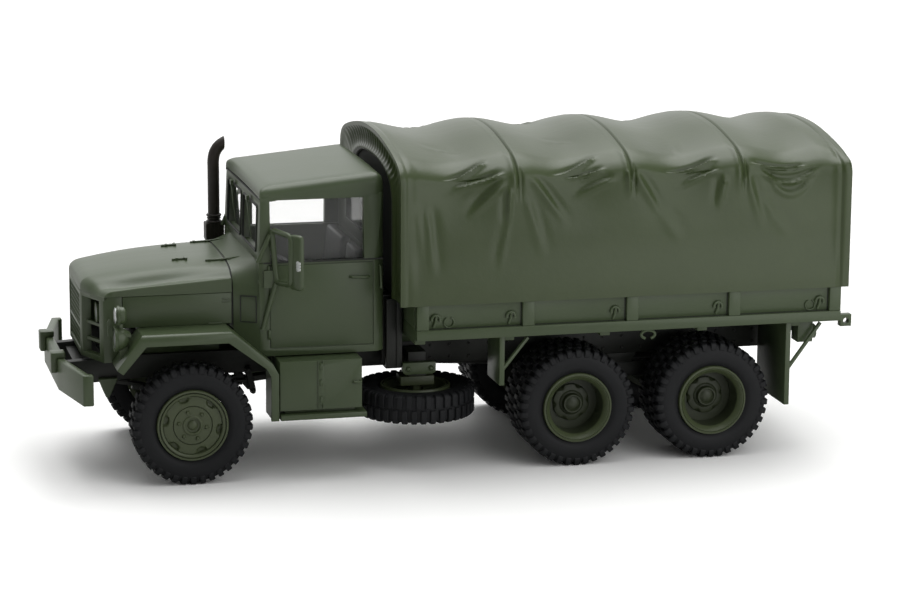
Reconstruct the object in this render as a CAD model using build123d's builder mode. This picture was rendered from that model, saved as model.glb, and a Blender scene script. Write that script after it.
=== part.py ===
"""Scale model of a six-wheeled military cargo truck: moulded pieces on a ladder frame, and turning wheels."""
import os

from build123d import *

os.makedirs("parts", exist_ok=True)

# Layout in millimetres. +X is forward, +Y is the truck's left, +Z is up, and the ground is at z = 0.
front_overhang = 12.75
wheelbase = 38.0
bogie_gap = 2.19
rear_overhang = 14.1
half_width = 14.0

# Wheels
tyre_radius = 5.88
tyre_width = 2.9
lug_count = 24
lug_height = 0.5
lug_width = 0.8
rim_radius = 3.48
rim_wall = 0.5
rim_inset = 0.05
rim_flats = 16
front_track = 20.7
rear_track = 20.2
dual_gap = 0.4
pin_radius = 0.70
running_clearance = 0.05
seat_gap = 0.02

# Frame and running gear
axle_to_frame = 3.32
frame_height = 2.3
frame_half_width = 4.8
rail_width = 1.0
rail_wall = 0.35
axle_tube_radius = 0.85
spring_width = 0.8
leaf_thickness = 0.3

# Cab and front body; stations are measured forward from the front axle
hood_front = 9.7
cowl_front = -4.45
cab_length = 14.85
windscreen_setback = 2.45
cab_half_width = 9.85
cab_wall = 0.7
cab_lift = 0.4
door_height = 9.2
roof_height = 7.8
hood_half_width = 8.6
hood_edge_height = 6.25
hood_crown = 2.6
body_gap = 0.05

# Fenders
fender_half_width = 12.3
fender_height = 3.55
fender_thickness = 0.6
fender_lip = 0.75

# Load bed and cover
bed_gap = 2.2
bed_lift = 2.1
bed_depth = 1.0
bed_side_height = 3.6
bed_side_inset = 1.0
bed_side_thickness = 0.5
cover_lead = 1.64
cover_tail = 0.7
hem_height = 2.45
cover_height = 15.5
cover_wall = 0.55
cover_clearance = 0.05

# Places that follow from the sizes above
bogie_spacing = 2 * tyre_radius + bogie_gap
overall_length = front_overhang + wheelbase + bogie_spacing + rear_overhang
front_axle_x = overall_length / 2 - front_overhang
middle_axle_x = front_axle_x - wheelbase
rear_axle_x = middle_axle_x - bogie_spacing
bogie_x = (middle_axle_x + rear_axle_x) / 2
frame_bottom = tyre_radius + axle_to_frame
frame_top = frame_bottom + frame_height
cab_bottom = frame_top + cab_lift
floor_z = cab_bottom + cab_wall
sill_z = cab_bottom + door_height
roof_z = sill_z + roof_height
hood_edge_z = cab_bottom + hood_edge_height
hood_top_z = hood_edge_z + hood_crown
fender_top_z = frame_top + fender_height
bed_bottom = frame_top + bed_lift
bed_floor_z = bed_bottom + bed_depth
bed_side_top = bed_floor_z + bed_side_height
bed_side_y = half_width - bed_side_inset
cover_hem_z = bed_floor_z + hem_height
cover_top_z = cover_hem_z + cover_height
cover_half_width = bed_side_y + bed_side_thickness + cover_clearance + cover_wall
cab_rear = cowl_front - cab_length
windscreen = cowl_front - windscreen_setback
bed_front = cab_rear - bed_gap
bracket_length = 1.15
bracket_rear = -(wheelbase + bogie_spacing) - rear_overhang
bed_rear = bracket_rear + bracket_length
cover_front = bed_front + cover_lead
cover_rear = bed_rear - cover_tail
frame_rear_inset = 2.5
frame_rear = bed_rear + frame_rear_inset
SIDES = ((1, "left"), (-1, "right"))
TUBE_FLATS = 6
BOSS_FLATS = 10


def at(station):
    """X of a station measured forward from the front axle."""
    return front_axle_x + station


def block(x, y, z, mode=Mode.ADD):
    """A box between two limits on each axis."""
    with Locations(((x[0] + x[1]) / 2, (y[0] + y[1]) / 2, (z[0] + z[1]) / 2)):
        Box(abs(x[1] - x[0]), abs(y[1] - y[0]), abs(z[1] - z[0]), mode=mode)


def profile(plane, points, amount, mode=Mode.ADD, both=False):
    """A straight-edged outline drawn on a plane and extruded."""
    with BuildSketch(plane) as outline:
        with BuildLine():
            Polyline(*points, close=True)
        make_face()
    extrude(outline.sketch, amount=amount, both=both, mode=mode)


def side_profile(points, y, mode=Mode.ADD):
    """An outline of (x, z) points extruded between two y limits."""
    low, high = min(y), max(y)
    profile(Plane.XZ.offset(-high), points, high - low, mode)


def rod(start, end, radius, flats=TUBE_FLATS, mode=Mode.ADD):
    """A bar with flats between two points, or a round one where flats is 0."""
    run = Vector(*end) - Vector(*start)
    with BuildSketch(Plane(origin=start, z_dir=run)) as section:
        if flats:
            RegularPolygon(radius, round(flats))
        else:
            Circle(radius)
    extrude(section.sketch, amount=run.length, mode=mode)


def barrel(plane, start, end, radius, flats=rim_flats, mode=Mode.ADD):
    """A drum with flats, or round where flats is 0, between two distances along the plane's normal."""
    with BuildSketch(plane.offset(start)) as section:
        if flats:
            RegularPolygon(radius, round(flats))
        else:
            Circle(radius)
    extrude(section.sketch, amount=end - start, mode=mode)


def strip(path, thickness):
    """Outline of a bent strip: the path, then the path moved to its right with mitred corners, reversed."""
    moved = []
    for i, point in enumerate(path):
        here = Vector(*point)
        runs = []
        if i > 0:
            runs.append((here - Vector(*path[i - 1])).normalized())
        if i < len(path) - 1:
            runs.append((Vector(*path[i + 1]) - here).normalized())
        normals = [Vector(run.Y, -run.X) for run in runs]
        total = normals[0] + normals[-1]
        mitre = total * (2 / total.dot(total))
        shift = here + mitre * thickness if len(normals) == 2 else here + normals[0] * thickness
        moved.append((shift.X, shift.Y))
    return list(path) + moved[::-1]


def save(piece, name):
    """Label a finished piece and write its file."""
    piece.part.label = name
    export_step(piece.part, f"parts/{name}.step")


# Front bumper: a straight middle with swept ends, and two straps that wrap over it
strap_depth = 0.6
bumper_height, bumper_thickness, bumper_lift = 3.0, 0.8, 0.15
bumper_sweep, bumper_return, bumper_inset = 1.55, 1.0, 0.95
strap_y, strap_width, strap_hang = 4.7, 1.5, 1.4
wing_start = 5.9
bumper_front = front_overhang - strap_depth
bumper_end = bumper_front - bumper_sweep
bumper_half = half_width - bumper_inset
bumper_top = frame_top + bumper_lift
bumper_bottom = bumper_top - bumper_height
with BuildPart() as front_bumper:
    half_path = [(at(bumper_front), wing_start), (at(bumper_end), bumper_half),
                 (at(bumper_end - bumper_return), bumper_half)]
    path = half_path[::-1] + [(x, -y) for x, y in half_path]
    profile(Plane.XY.offset(bumper_bottom), strip(path, bumper_thickness), bumper_height)
save(front_bumper, "front_bumper")

with BuildPart() as bumper_straps:
    back, face, front = at(bumper_front - bumper_thickness), at(bumper_front), at(front_overhang)
    strap_bottom = bumper_top - strap_hang
    strap = [(back, bumper_top), (face, bumper_top), (face, strap_bottom), (front, strap_bottom),
             (front, bumper_top + strap_depth), (back, bumper_top + strap_depth)]
    for side, _ in SIDES:
        side_profile(strap, (side * (strap_y - strap_width / 2), side * (strap_y + strap_width / 2)))
save(bumper_straps, "bumper_straps")

# Frame: two channel rails that drop towards the bumper, cross members and cab pads
frame_front = bumper_front - bumper_thickness
horn_start, horn_drop = 4.0, 0.4
cross_length, cross_height = 1.0, 1.6
pad_half = 0.6
front_cross = frame_front - 1.55
engine_cross, gearbox_cross = 5.0, -6.2
transfer_cross = cab_rear - 1.1
bogie_cross = -wheelbase + 5.0
tail_cross = -(wheelbase + bogie_spacing) - 1.25
end_cross = frame_rear + 0.6
cross_members = (front_cross, engine_cross, gearbox_cross, transfer_cross, bogie_cross, tail_cross, end_cross)
pad_stations = (windscreen - 2.6, cab_rear + 1.8)
with BuildPart() as frame:
    rail = [(at(frame_front), frame_top - horn_drop), (at(frame_front), frame_bottom - horn_drop),
            (at(horn_start), frame_bottom), (at(frame_rear), frame_bottom), (at(frame_rear), frame_top),
            (at(horn_start), frame_top)]
    inner = frame_half_width - rail_wall
    for side, _ in SIDES:
        rail_y = (side * frame_half_width, side * (frame_half_width - rail_width))
        side_profile(rail, rail_y)
        block((at(horn_start - 1), at(frame_rear)), (side * inner, rail_y[1]),
              (frame_bottom + rail_wall, frame_top - rail_wall), Mode.SUBTRACT)
        for station in pad_stations:
            block((at(station) - pad_half, at(station) + pad_half), rail_y, (frame_top, cab_bottom))
    for station in cross_members:
        middle = (frame_bottom + frame_top) / 2 - (horn_drop if station == front_cross else 0)
        block((at(station) - cross_length / 2, at(station) + cross_length / 2), (-inner, inner),
              (middle - cross_height / 2, middle + cross_height / 2))
save(frame, "frame")

# Axles: tube, differential housing and end drums, with the round pins that the wheels turn on
pin_end_gap, hub_gap, hub_end = 0.2, 0.1, 0.45
hub_radius = 1.15
drum_radius, drum_length = 1.5, 0.8
housing_radius, housing_length = 1.75, 2.6
neck_half, neck_height = 0.9, 2.3
front_housing_y = -1.6
dual_spacing = tyre_width + dual_gap
rim_half = tyre_width / 2 - rim_inset
front_disc, rear_disc = 0.28, 2.7
rear_reach = dual_spacing / 2 + rim_half
duals = (-dual_spacing / 2, dual_spacing / 2)
wheel_table = (  # name, axle x, wheel's middle, rim's reach, disc's depth, tyre offsets, housing y
    ("front", front_axle_x, front_track / 2, rim_half, front_disc, (0.0,), front_housing_y),
    ("middle", middle_axle_x, rear_track / 2, rear_reach, rear_disc, duals, 0.0),
    ("rear", rear_axle_x, rear_track / 2, rear_reach, rear_disc, duals, 0.0),
)
for name, x, centre, reach, depth, _, offset in wheel_table:
    shoulder = centre - reach - hub_gap
    pin_end = centre + reach - depth - hub_end - pin_end_gap
    with BuildPart() as axle:
        rod((x, -shoulder, tyre_radius), (x, shoulder, tyre_radius), axle_tube_radius, BOSS_FLATS)
        rod((x, offset - housing_length / 2, tyre_radius), (x, offset + housing_length / 2, tyre_radius),
            housing_radius, BOSS_FLATS)
        block((x - neck_half, x + neck_half), (offset - neck_half, offset + neck_half),
              (tyre_radius, tyre_radius + neck_height))
        for side, _ in SIDES:
            rod((x, side * shoulder, tyre_radius), (x, side * (shoulder - drum_length), tyre_radius),
                drum_radius, BOSS_FLATS)
            rod((x, side * shoulder, tyre_radius), (x, side * pin_end, tyre_radius), pin_radius, 0)
    save(axle, f"{name}_axle")

# Front leaf springs on the axle, hung from the rails by a bracket in front and a shackle behind
leaf_half_lengths = (6.2, 4.8, 3.4, 2.0)
leaf_shares = (-1.0, -0.5, 0.0, 0.5, 1.0)
spring_seat_z = tyre_radius + axle_tube_radius
seat_pad = 0.3
leaf_bite = 0.05
spring_camber = 0.8
spring_y = frame_half_width - rail_width / 2
hanger_gap = 0.03
hanger_half, hanger_foot = 1.2, 0.45
shackle_half, shackle_drop, shackle_lean = 0.35, 1.3, 0.7
with BuildPart() as front_springs:
    longest = leaf_half_lengths[0]
    pack_top = spring_seat_z + seat_pad + leaf_thickness * (len(leaf_half_lengths) - 1)
    eye_z = pack_top + spring_camber
    for side, _ in SIDES:
        leaf_y = (side * (spring_y - spring_width / 2), side * (spring_y + spring_width / 2))
        for i, half in enumerate(leaf_half_lengths):
            top = pack_top + leaf_thickness * (1 - i)
            rise = spring_camber * (half / longest) ** 2
            path = [(at(share * half), top + rise * share ** 2) for share in leaf_shares]
            side_profile(strip(path, leaf_thickness + leaf_bite), leaf_y)
        block((at(-hanger_half), at(hanger_half)), leaf_y, (spring_seat_z, spring_seat_z + seat_pad))
        horn_share = (longest + hanger_half - horn_start) / (frame_front - horn_start)
        rail_low = frame_bottom - horn_drop * horn_share
        bracket = [(at(longest - hanger_half), rail_low - hanger_gap), (at(longest - hanger_foot), eye_z),
                   (at(longest + hanger_foot), eye_z), (at(longest + hanger_half), rail_low - hanger_gap)]
        side_profile(bracket, leaf_y)
        top_x, low_x = at(-longest + shackle_lean), at(-longest - shackle_lean)
        shackle_top, shackle_low = frame_bottom - hanger_gap, eye_z - shackle_drop
        shackle = [(top_x - shackle_half, shackle_top), (low_x - shackle_half, shackle_low),
                   (low_x + shackle_half, shackle_low), (top_x + shackle_half, shackle_top)]
        side_profile(shackle, leaf_y)
save(front_springs, "front_springs")
print("built the bumper, frame, axles and front springs")

# Bogie: a cross tube with spring seats, and a leaf pack on each side that bears on both rear axles
bogie_leaf_count, bogie_leaf_step, bogie_leaf_over = 5, 1.3, 0.8
seat_low, seat_high, seat_half = 1.1, 1.6, 0.5
trunnion_radius, trunnion_drop = 0.5, 0.3
with BuildPart() as bogie_springs:
    pack_bottom = tyre_radius + axle_tube_radius
    pack_top = pack_bottom + bogie_leaf_count * leaf_thickness
    for side, _ in SIDES:
        for i in range(bogie_leaf_count):
            half = bogie_spacing / 2 + bogie_leaf_over - i * bogie_leaf_step
            low = pack_bottom + i * leaf_thickness
            block((bogie_x - half, bogie_x + half),
                  (side * (spring_y - spring_width / 2), side * (spring_y + spring_width / 2)),
                  (low, low + leaf_thickness))
        seat = [(bogie_x - seat_low, pack_top), (bogie_x + seat_low, pack_top),
                (bogie_x + seat_high, frame_bottom), (bogie_x - seat_high, frame_bottom)]
        side_profile(seat, (side * (spring_y - seat_half), side * (spring_y + seat_half)))
    trunnion_z = pack_bottom - trunnion_drop
    rod((bogie_x, -spring_y, trunnion_z), (bogie_x, spring_y, trunnion_z), trunnion_radius)
save(bogie_springs, "bogie_springs")

# Engine sump and gearbox on the cross members, transfer case behind, shafts between them and the axles
sump_front, sump_rear = engine_cross - cross_length / 2, gearbox_cross + cross_length / 2
sump_half, sump_drop, sump_rise = 2.0, 0.6, 2.0
gearbox_front, gearbox_length, gearbox_half, gearbox_drop = gearbox_cross - cross_length / 2, 7.3, 1.5, 0.2
gearbox_rear = gearbox_front - gearbox_length
bridge_height = 0.35
transfer_length, transfer_half, transfer_drop, transfer_cover = 3.2, 1.6, 1.2, 0.4
lug_length, lug_inset = 0.3, 0.6
transfer_front = transfer_cross - cross_length / 2 - lug_length
transfer_rear = transfer_front - transfer_length
shaft_radius = 0.45
with BuildPart() as engine_and_gearbox:
    block((at(sump_front), at(sump_rear)), (-sump_half, sump_half),
          (frame_bottom - sump_drop, frame_top + sump_rise))
    block((at(gearbox_front), at(gearbox_rear)), (-gearbox_half, gearbox_half),
          (frame_bottom - gearbox_drop, frame_top))
    block((at(sump_rear), at(gearbox_front)), (-gearbox_half, gearbox_half),
          (frame_top - bridge_height, frame_top))
save(engine_and_gearbox, "engine_and_gearbox")

with BuildPart() as transfer_case:
    block((at(transfer_front), at(transfer_rear)), (-transfer_half, transfer_half),
          (frame_bottom - transfer_drop, frame_top - transfer_cover))
    lug_half = transfer_half - lug_inset
    block((at(transfer_front + lug_length), at(transfer_front)), (-lug_half, lug_half),
          (frame_bottom + transfer_cover, frame_top - transfer_cover))
save(transfer_case, "transfer_case")

shaft_gap, main_shaft_rise, output_rise, rear_shaft_rise = 0.1, 1.2, 0.5, 1.9
front_shaft_y, front_shaft_rise = -0.9, 0.6
main_shaft_z = frame_bottom + main_shaft_rise
output_z = frame_bottom - transfer_drop + output_rise
rear_shaft_z = tyre_radius + rear_shaft_rise
neck_reach = neck_half + shaft_gap
shaft_table = (  # start x, start y, start z, end x, end y, end z
    (at(gearbox_rear), 0.0, main_shaft_z, at(transfer_cross + cross_length / 2), 0.0, main_shaft_z),
    (at(transfer_front) + shaft_gap, front_shaft_y, output_z,
     front_axle_x - housing_radius - shaft_gap, front_housing_y, tyre_radius + front_shaft_rise),
    (at(transfer_rear) - shaft_gap, 0.0, output_z, middle_axle_x + neck_reach, 0.0, rear_shaft_z),
    (middle_axle_x - neck_reach, 0.0, rear_shaft_z, rear_axle_x + neck_reach, 0.0, rear_shaft_z),
)
with BuildPart() as propeller_shafts:
    for x0, y0, z0, x1, y1, z1 in shaft_table:
        rod((x0, y0, z0), (x1, y1, z1), shaft_radius)
save(propeller_shafts, "propeller_shafts")

# Wheels: a rim with a disc and a blind hub that runs on the axle pin, and lugged tyres pressed over the rim
disc_thickness = 0.5
lip_width = 0.35
hand_hole_count, hand_hole_radius, hand_hole_ring, hand_hole_flats = 6, 0.38, 2.2, 5
cap_radius, cap_height = 0.9, 0.2
flange_radius, flange_height, hub_cap_height = 1.8, 0.25, 0.95
tread_root = tyre_radius - lug_height


def tyre_on(plane):
    """One tyre on a wheel's middle plane: a ring with straight lugs across its tread."""
    with BuildSketch(plane.offset(-tyre_width / 2)) as tread:
        RegularPolygon(tread_root, lug_count)
        with PolarLocations(tread_root, lug_count):
            Rectangle(2 * lug_height, lug_width)
        RegularPolygon(rim_radius + seat_gap, rim_flats, mode=Mode.SUBTRACT)
    extrude(tread.sketch, amount=tyre_width)


def rim_on(plane, reach, depth):
    """A hollow rim on a wheel's middle plane, its disc set in from the outer lip by a depth."""
    face = reach - depth
    barrel(plane, -reach, reach, rim_radius)
    barrel(plane, -reach, face - disc_thickness, rim_radius - rim_wall, mode=Mode.SUBTRACT)
    barrel(plane, face, reach, rim_radius - lip_width, mode=Mode.SUBTRACT)


for name, x, centre, reach, depth, offsets, _ in wheel_table:
    for side, side_name in SIDES:
        middle = Plane(origin=(x, side * centre, tyre_radius), x_dir=(1, 0, 0), z_dir=(0, side, 0))
        face = reach - depth
        with BuildPart() as rim:
            rim_on(middle, reach, depth)
            if len(offsets) > 1:
                barrel(middle, face - disc_thickness, face + flange_height, flange_radius, BOSS_FLATS)
                barrel(middle, -reach, face + hub_cap_height, hub_radius, BOSS_FLATS)
            else:
                with BuildSketch(middle.offset(face)):
                    with PolarLocations(hand_hole_ring, hand_hole_count):
                        RegularPolygon(hand_hole_radius, hand_hole_flats)
                extrude(amount=-disc_thickness, mode=Mode.SUBTRACT)
                barrel(middle, -reach, face + cap_height, hub_radius, BOSS_FLATS)
            barrel(middle, -reach, face - hub_end, pin_radius + running_clearance, 0, Mode.SUBTRACT)
        save(rim, f"{name}_{side_name}_rim")
        with BuildPart() as tyre:
            for out in offsets:
                tyre_on(middle.offset(out))
        save(tyre, f"{name}_{side_name}_tyre")

# Mud flaps and spare wheel stand ahead of the middle axle, so their stations come from it
flap_thickness, flap_clearance, spare_gap = 0.5, 1.72, 1.02
front_flap = -wheelbase + tyre_radius + flap_clearance + flap_thickness
spare_station = front_flap + spare_gap + tyre_radius

# Spare wheel, lying flat on the left behind the tool box, with its hanger from the frame
spare_y, spare_bottom = 6.9, 4.9
spare_disc_depth = 0.9
spare_middle = spare_bottom + tyre_width / 2
disc_top = spare_middle + rim_half - spare_disc_depth
post_radius, post_height = 0.6, 1.2
carrier_length, carrier_width, carrier_height, carrier_sink = 3.4, 2.0, 0.9, 0.3
hanger_half_width, hanger_half_length, hanger_rise = 0.8, 0.9, 0.6
hanger_top, hanger_low = 0.4, 0.3
spare_plane = Plane(origin=(at(spare_station), spare_y, spare_middle))
with BuildPart() as spare_rim:
    rim_on(spare_plane, rim_half, spare_disc_depth)
save(spare_rim, "spare_rim")

with BuildPart() as spare_tyre:
    tyre_on(spare_plane)
save(spare_tyre, "spare_tyre")

with BuildPart() as spare_carrier:
    x = at(spare_station)
    carrier_low = disc_top + post_height - carrier_sink
    rod((x, spare_y, disc_top), (x, spare_y, disc_top + post_height), post_radius)
    block((x - carrier_length / 2, x + carrier_length / 2),
          (spare_y - carrier_width / 2, spare_y + carrier_width / 2),
          (carrier_low, carrier_low + carrier_height))
    foot_z = carrier_low + hanger_rise
    hanger = [(spare_y + hanger_half_width, foot_z), (spare_y + hanger_half_width, frame_top - hanger_top),
              (frame_half_width, frame_top - hanger_top), (frame_half_width, frame_bottom + hanger_low),
              (spare_y - hanger_half_width, foot_z)]
    profile(Plane.YZ.offset(x), hanger, hanger_half_length, both=True)
save(spare_carrier, "spare_carrier")
print("built the bogie, drive line, wheels and spare")

# Hood, hollow: a slab up to the crease, and a crowned panel over it that leaves a ledge
hood_skin = 0.6
nose_sweep, nose_inset = 1.7, 0.2
nose_corner_width = 4.2
grille_flat = hood_half_width - nose_corner_width
corner_station = hood_front - nose_sweep
corner_half = hood_half_width - nose_inset
hood_rear = cowl_front + body_gap
crown_line = (  # station, drop from the top
    (hood_front, 1.75), (hood_front - 0.7, 1.25), (hood_front - 4.2, 0.75), (hood_rear, 0.05),
)
nose_ledge, nose_cove, nose_crease = 2.2, 2.05, 2.1
cowl_ledge, cowl_cove, cowl_crease = 0.9, 0.6, 1.25
cowl_flat, cowl_drop = 3.1, crown_line[-1][1]


def cut_over(a, b, c):
    """Cut off what stands over the plane through three points."""
    normal = (Vector(*b) - Vector(*a)).cross(Vector(*c) - Vector(*a))
    split(bisect_by=Plane(origin=a, z_dir=normal if normal.Z > 0 else -normal), keep=Keep.BOTTOM)


def hood_form(inset, bottom):
    """The hood's form, drawn in by an inset on every side but the bottom."""
    half, top = hood_half_width - inset, hood_top_z - inset
    front, rear = at(hood_front), at(hood_rear)
    with BuildPart() as slab:
        block((front, rear), (-half, half), (bottom, top))
        for side, _ in SIDES:
            nose_edge = (front, side * (half - nose_ledge), top - nose_cove)
            cut_over(nose_edge, (front, side * half, top - nose_crease),
                     (rear, side * half, top - cowl_crease))
    with BuildPart() as form:
        crown = [(at(station), top - drop) for station, drop in crown_line]
        side_profile(crown + [(rear, bottom), (front, bottom)], (-half, half))
        for side, _ in SIDES:
            nose_edge = (front, side * (half - nose_ledge), top - nose_cove)
            cowl_edge = (rear, side * (half - cowl_ledge), top - cowl_cove)
            cut_over(nose_edge, cowl_edge, (rear, side * (half - cowl_flat), top - cowl_drop))
            cut_over(nose_edge, cowl_edge, (rear, side * half, top - cowl_crease))
        add(slab.part)
    return form.part


plan_margin = 1.5
nose_plan = [(at(hood_rear), hood_half_width + plan_margin),
             (at(corner_station), hood_half_width + plan_margin), (at(corner_station), corner_half),
             (at(hood_front), grille_flat)]
hollow_margin = 1.0
hollow_bottom = hood_edge_z - hollow_margin
with BuildPart() as hood_hollow:
    add(hood_form(hood_skin, hollow_bottom))
    block((at(cowl_front) + hood_skin, at(corner_station) - hood_skin), (-hood_half_width, hood_half_width),
          (hollow_bottom, hood_top_z), Mode.INTERSECT)

with BuildPart() as hood:
    add(hood_form(0, hood_edge_z))
    whole_plan = nose_plan + [(x, -y) for x, y in nose_plan[::-1]]
    profile(Plane.XY.offset(hollow_bottom), whole_plan, 2 * hood_crown, Mode.INTERSECT)
    add(hood_hollow.part, mode=Mode.SUBTRACT)
save(hood, "hood")

# Grille: a shell round the nose with a barred panel in the middle and slatted openings for the headlamps
grille_thickness = 0.8
grille_bottom = frame_top + 0.2
grille_top = hood_edge_z - body_gap
return_rear = corner_station - 1.8
mesh_inset, mesh_low, mesh_high, mesh_depth = 0.4, 0.5, 0.45, 0.45
bar_count, bar_width, bar_depth = 7, 0.3, 0.25
lamp_inner, lamp_outer, lamp_low, lamp_high = 0.3, 0.7, 0.5, 0.45
slat_height, slat_depth, slat_shares = 0.3, 0.4, (0.21, 0.51)  # shares of the opening's height
nose_half = [(at(return_rear), corner_half), (at(corner_station), corner_half),
             (at(hood_front), grille_flat)]
with BuildPart() as grille:
    path = nose_half + [(x, -y) for x, y in nose_half[::-1]]
    profile(Plane.XY.offset(grille_bottom), strip(path, grille_thickness), grille_top - grille_bottom)
    mesh_half = grille_flat - mesh_inset
    mesh_z = (grille_bottom + mesh_low, grille_top - mesh_high)
    mesh_back = at(hood_front) - mesh_depth
    block((mesh_back, at(hood_front) + mesh_depth), (-mesh_half, mesh_half), mesh_z, Mode.SUBTRACT)
    for i in range(bar_count):
        y = mesh_half * (2 * (i + 0.5) / bar_count - 1)
        block((mesh_back, mesh_back + bar_depth), (y - bar_width / 2, y + bar_width / 2), mesh_z)
    opening_y = (grille_flat + lamp_inner, corner_half - lamp_outer)
    opening_z = (grille_bottom + lamp_low, grille_top - lamp_high)
    for side, _ in SIDES:
        block((at(return_rear), at(hood_front) + mesh_depth), [side * y for y in opening_y], opening_z,
              Mode.SUBTRACT)
        for share in slat_shares:
            z = opening_z[0] + share * (opening_z[1] - opening_z[0])
            slat = strip([(at(corner_station) - grille_thickness / 4, corner_half - slat_depth),
                          (at(hood_front) - grille_thickness / 2, grille_flat)], slat_depth)
            profile(Plane.XY.offset(z), [(x, side * y) for x, y in slat], slat_height)
save(grille, "grille")

headlamp_radius, headlamp_length, headlamp_setback, headlamp_drop = 1.0, 0.85, 1.65, 1.85
headlamp_shift = 0.25
headlamp_z = hood_edge_z - headlamp_drop
headlamp_y = sum(opening_y) / 2 + headlamp_shift
stalk_half, stalk_length = 0.4, 0.4
with BuildPart() as headlamps:
    for side, _ in SIDES:
        face = at(hood_front) - headlamp_setback
        back = face - headlamp_length
        y = side * headlamp_y
        rod((back, y, headlamp_z), (face, y, headlamp_z), headlamp_radius, BOSS_FLATS)
        stalk_y = (y - side * stalk_half, side * (corner_half - grille_thickness))
        block((back, back - stalk_length), stalk_y, (headlamp_z - stalk_half, headlamp_z + stalk_half))
save(headlamps, "headlamps")

# Side panels of the engine bay, standing on the fenders under the hood's edge
panel_inset, panel_thickness = 0.1, 0.6
with BuildPart() as hood_side_panels:
    for side, _ in SIDES:
        outer = hood_half_width - panel_inset
        panel_y = (side * outer, side * (outer - panel_thickness))
        block((at(hood_rear), at(return_rear) - body_gap), panel_y, (fender_top_z, hood_edge_z - body_gap))
save(hood_side_panels, "hood_side_panels")

# Fenders: a bent strip with an outer lip, a shelf in to the frame and an apron that stands on the rail
fender_nose, fender_tail = tyre_radius + 1.4, -tyre_radius - 2.42
lip_thickness, apron_thickness, shelf_inset, shelf_bite = 0.4, 0.5, 0.2, 0.1
fender_corners = (  # station, drop below the top
    (fender_nose, 3.25), (fender_nose - 2.48, 0.0), (fender_tail + 4.55, 0.0), (fender_tail + 0.55, 3.4),
    (fender_tail, 4.45), (fender_tail, 9.05),
)
fender_path = [(at(station), fender_top_z - drop) for station, drop in fender_corners]
shelf_front, shelf_rear = fender_corners[1][0] - shelf_inset, fender_corners[2][0] - shelf_inset / 2
for side, side_name in SIDES:
    with BuildPart() as fender:
        inner_y = side * (corner_half + body_gap)
        outer_y = side * fender_half_width
        side_profile(strip(fender_path[::-1], fender_thickness), (inner_y, outer_y))
        side_profile(strip(fender_path[::-1], fender_lip), (outer_y - side * lip_thickness, outer_y))
        shelf_y = side * (frame_half_width - rail_width)
        block((at(shelf_front), at(shelf_rear)), (shelf_y, inner_y + side * shelf_bite),
              (fender_top_z - fender_thickness, fender_top_z))
        block((at(horn_start), at(shelf_rear)), (shelf_y, shelf_y + side * apron_thickness),
              (frame_top, fender_top_z - shelf_bite))
    save(fender, f"{side_name}_fender")

# Fender lamps: a drum on a foot that stands on the fender's slope, and a marker lamp on a stalk over it
lamp_y = (hood_half_width + fender_half_width) / 2
foot_shares, foot_half_width = (0.238, 0.492), 0.35  # shares of the slope from its low end
drum_radius, drum_length, drum_rise, drum_lead = 0.95, 1.2, 1.35, 0.3
marker_radius, marker_length, marker_rise, marker_lead = 0.72, 0.8, 1.95, 0.05
stalk_half_length, stalk_half_width, lamp_bite = 0.2, 0.25, 0.3
slope_low, slope_high = Vector(*fender_path[0]), Vector(*fender_path[1])
foot_front, foot_rear = (slope_low + (slope_high - slope_low) * share for share in foot_shares)
with BuildPart() as fender_lamps:
    for side, _ in SIDES:
        y = side * lamp_y
        drum_z = foot_rear.Y + drum_rise
        drum_face = foot_front.X + drum_lead
        marker_z, marker_face = drum_z + marker_rise, drum_face - marker_lead
        stalk_x = marker_face - marker_length / 2
        foot = [(foot_front.X, foot_front.Y), (foot_front.X, drum_z), (foot_rear.X, drum_z),
                (foot_rear.X, foot_rear.Y)]
        side_profile(foot, (y - foot_half_width, y + foot_half_width))
        rod((drum_face - drum_length, y, drum_z), (drum_face, y, drum_z), drum_radius, BOSS_FLATS)
        block((stalk_x - stalk_half_length, stalk_x + stalk_half_length),
              (y - stalk_half_width, y + stalk_half_width),
              (drum_z + drum_radius - lamp_bite, marker_z - marker_radius + lamp_bite))
        rod((marker_face - marker_length, y, marker_z), (marker_face, y, marker_z), marker_radius, BOSS_FLATS)
save(fender_lamps, "fender_lamps")

# Cab: a tub with a sloping toe board, doors scored in its sides, open at the sill where the hardtop seats
toe_gap = 0.06
top_corner, low_corner = fender_path[2], fender_path[3]
slope = (top_corner[1] - low_corner[1]) / (top_corner[0] - low_corner[0])
toe_top_z = top_corner[1] + slope * (at(cowl_front) - top_corner[0]) + toe_gap
toe_foot_x = top_corner[0] - (top_corner[1] + toe_gap - cab_bottom) / slope
cowl_top_z = hood_top_z - cowl_drop
cab_corner = 1.2
door_front, door_rear = windscreen - 0.95, cab_rear + 1.15
door_low, door_high = cab_bottom + 0.7, sill_z - 0.2
door_length, door_rise = door_front - door_rear, door_high - door_low
groove = 0.12
room_lead = 0.3


def cab_plan(inset):
    """Plan of the cab as (x, y) points: narrow at the cowl, full width from the windscreen back."""
    narrow, wide = hood_half_width - panel_inset - inset, cab_half_width - inset
    half = [(at(cowl_front) - inset, narrow), (at(windscreen) - inset, wide), (at(cab_rear) + inset, wide)]
    return half + [(x, -y) for x, y in reversed(half)]


with BuildPart() as cab_inside:
    wall = cab_wall
    room = [(at(cowl_front) - wall, cowl_top_z - 2 * wall), (at(cowl_front) - wall, toe_top_z + wall),
            (toe_foot_x - room_lead, floor_z), (at(cab_rear) + wall, floor_z),
            (at(cab_rear) + wall, sill_z + wall), (at(windscreen) - wall, sill_z + wall),
            (at(windscreen) - wall, cowl_top_z - 2 * wall)]
    side_profile(room, (-cab_half_width, cab_half_width))
    profile(Plane.XY.offset(cab_bottom), cab_plan(wall), 2 * door_height, Mode.INTERSECT)

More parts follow.
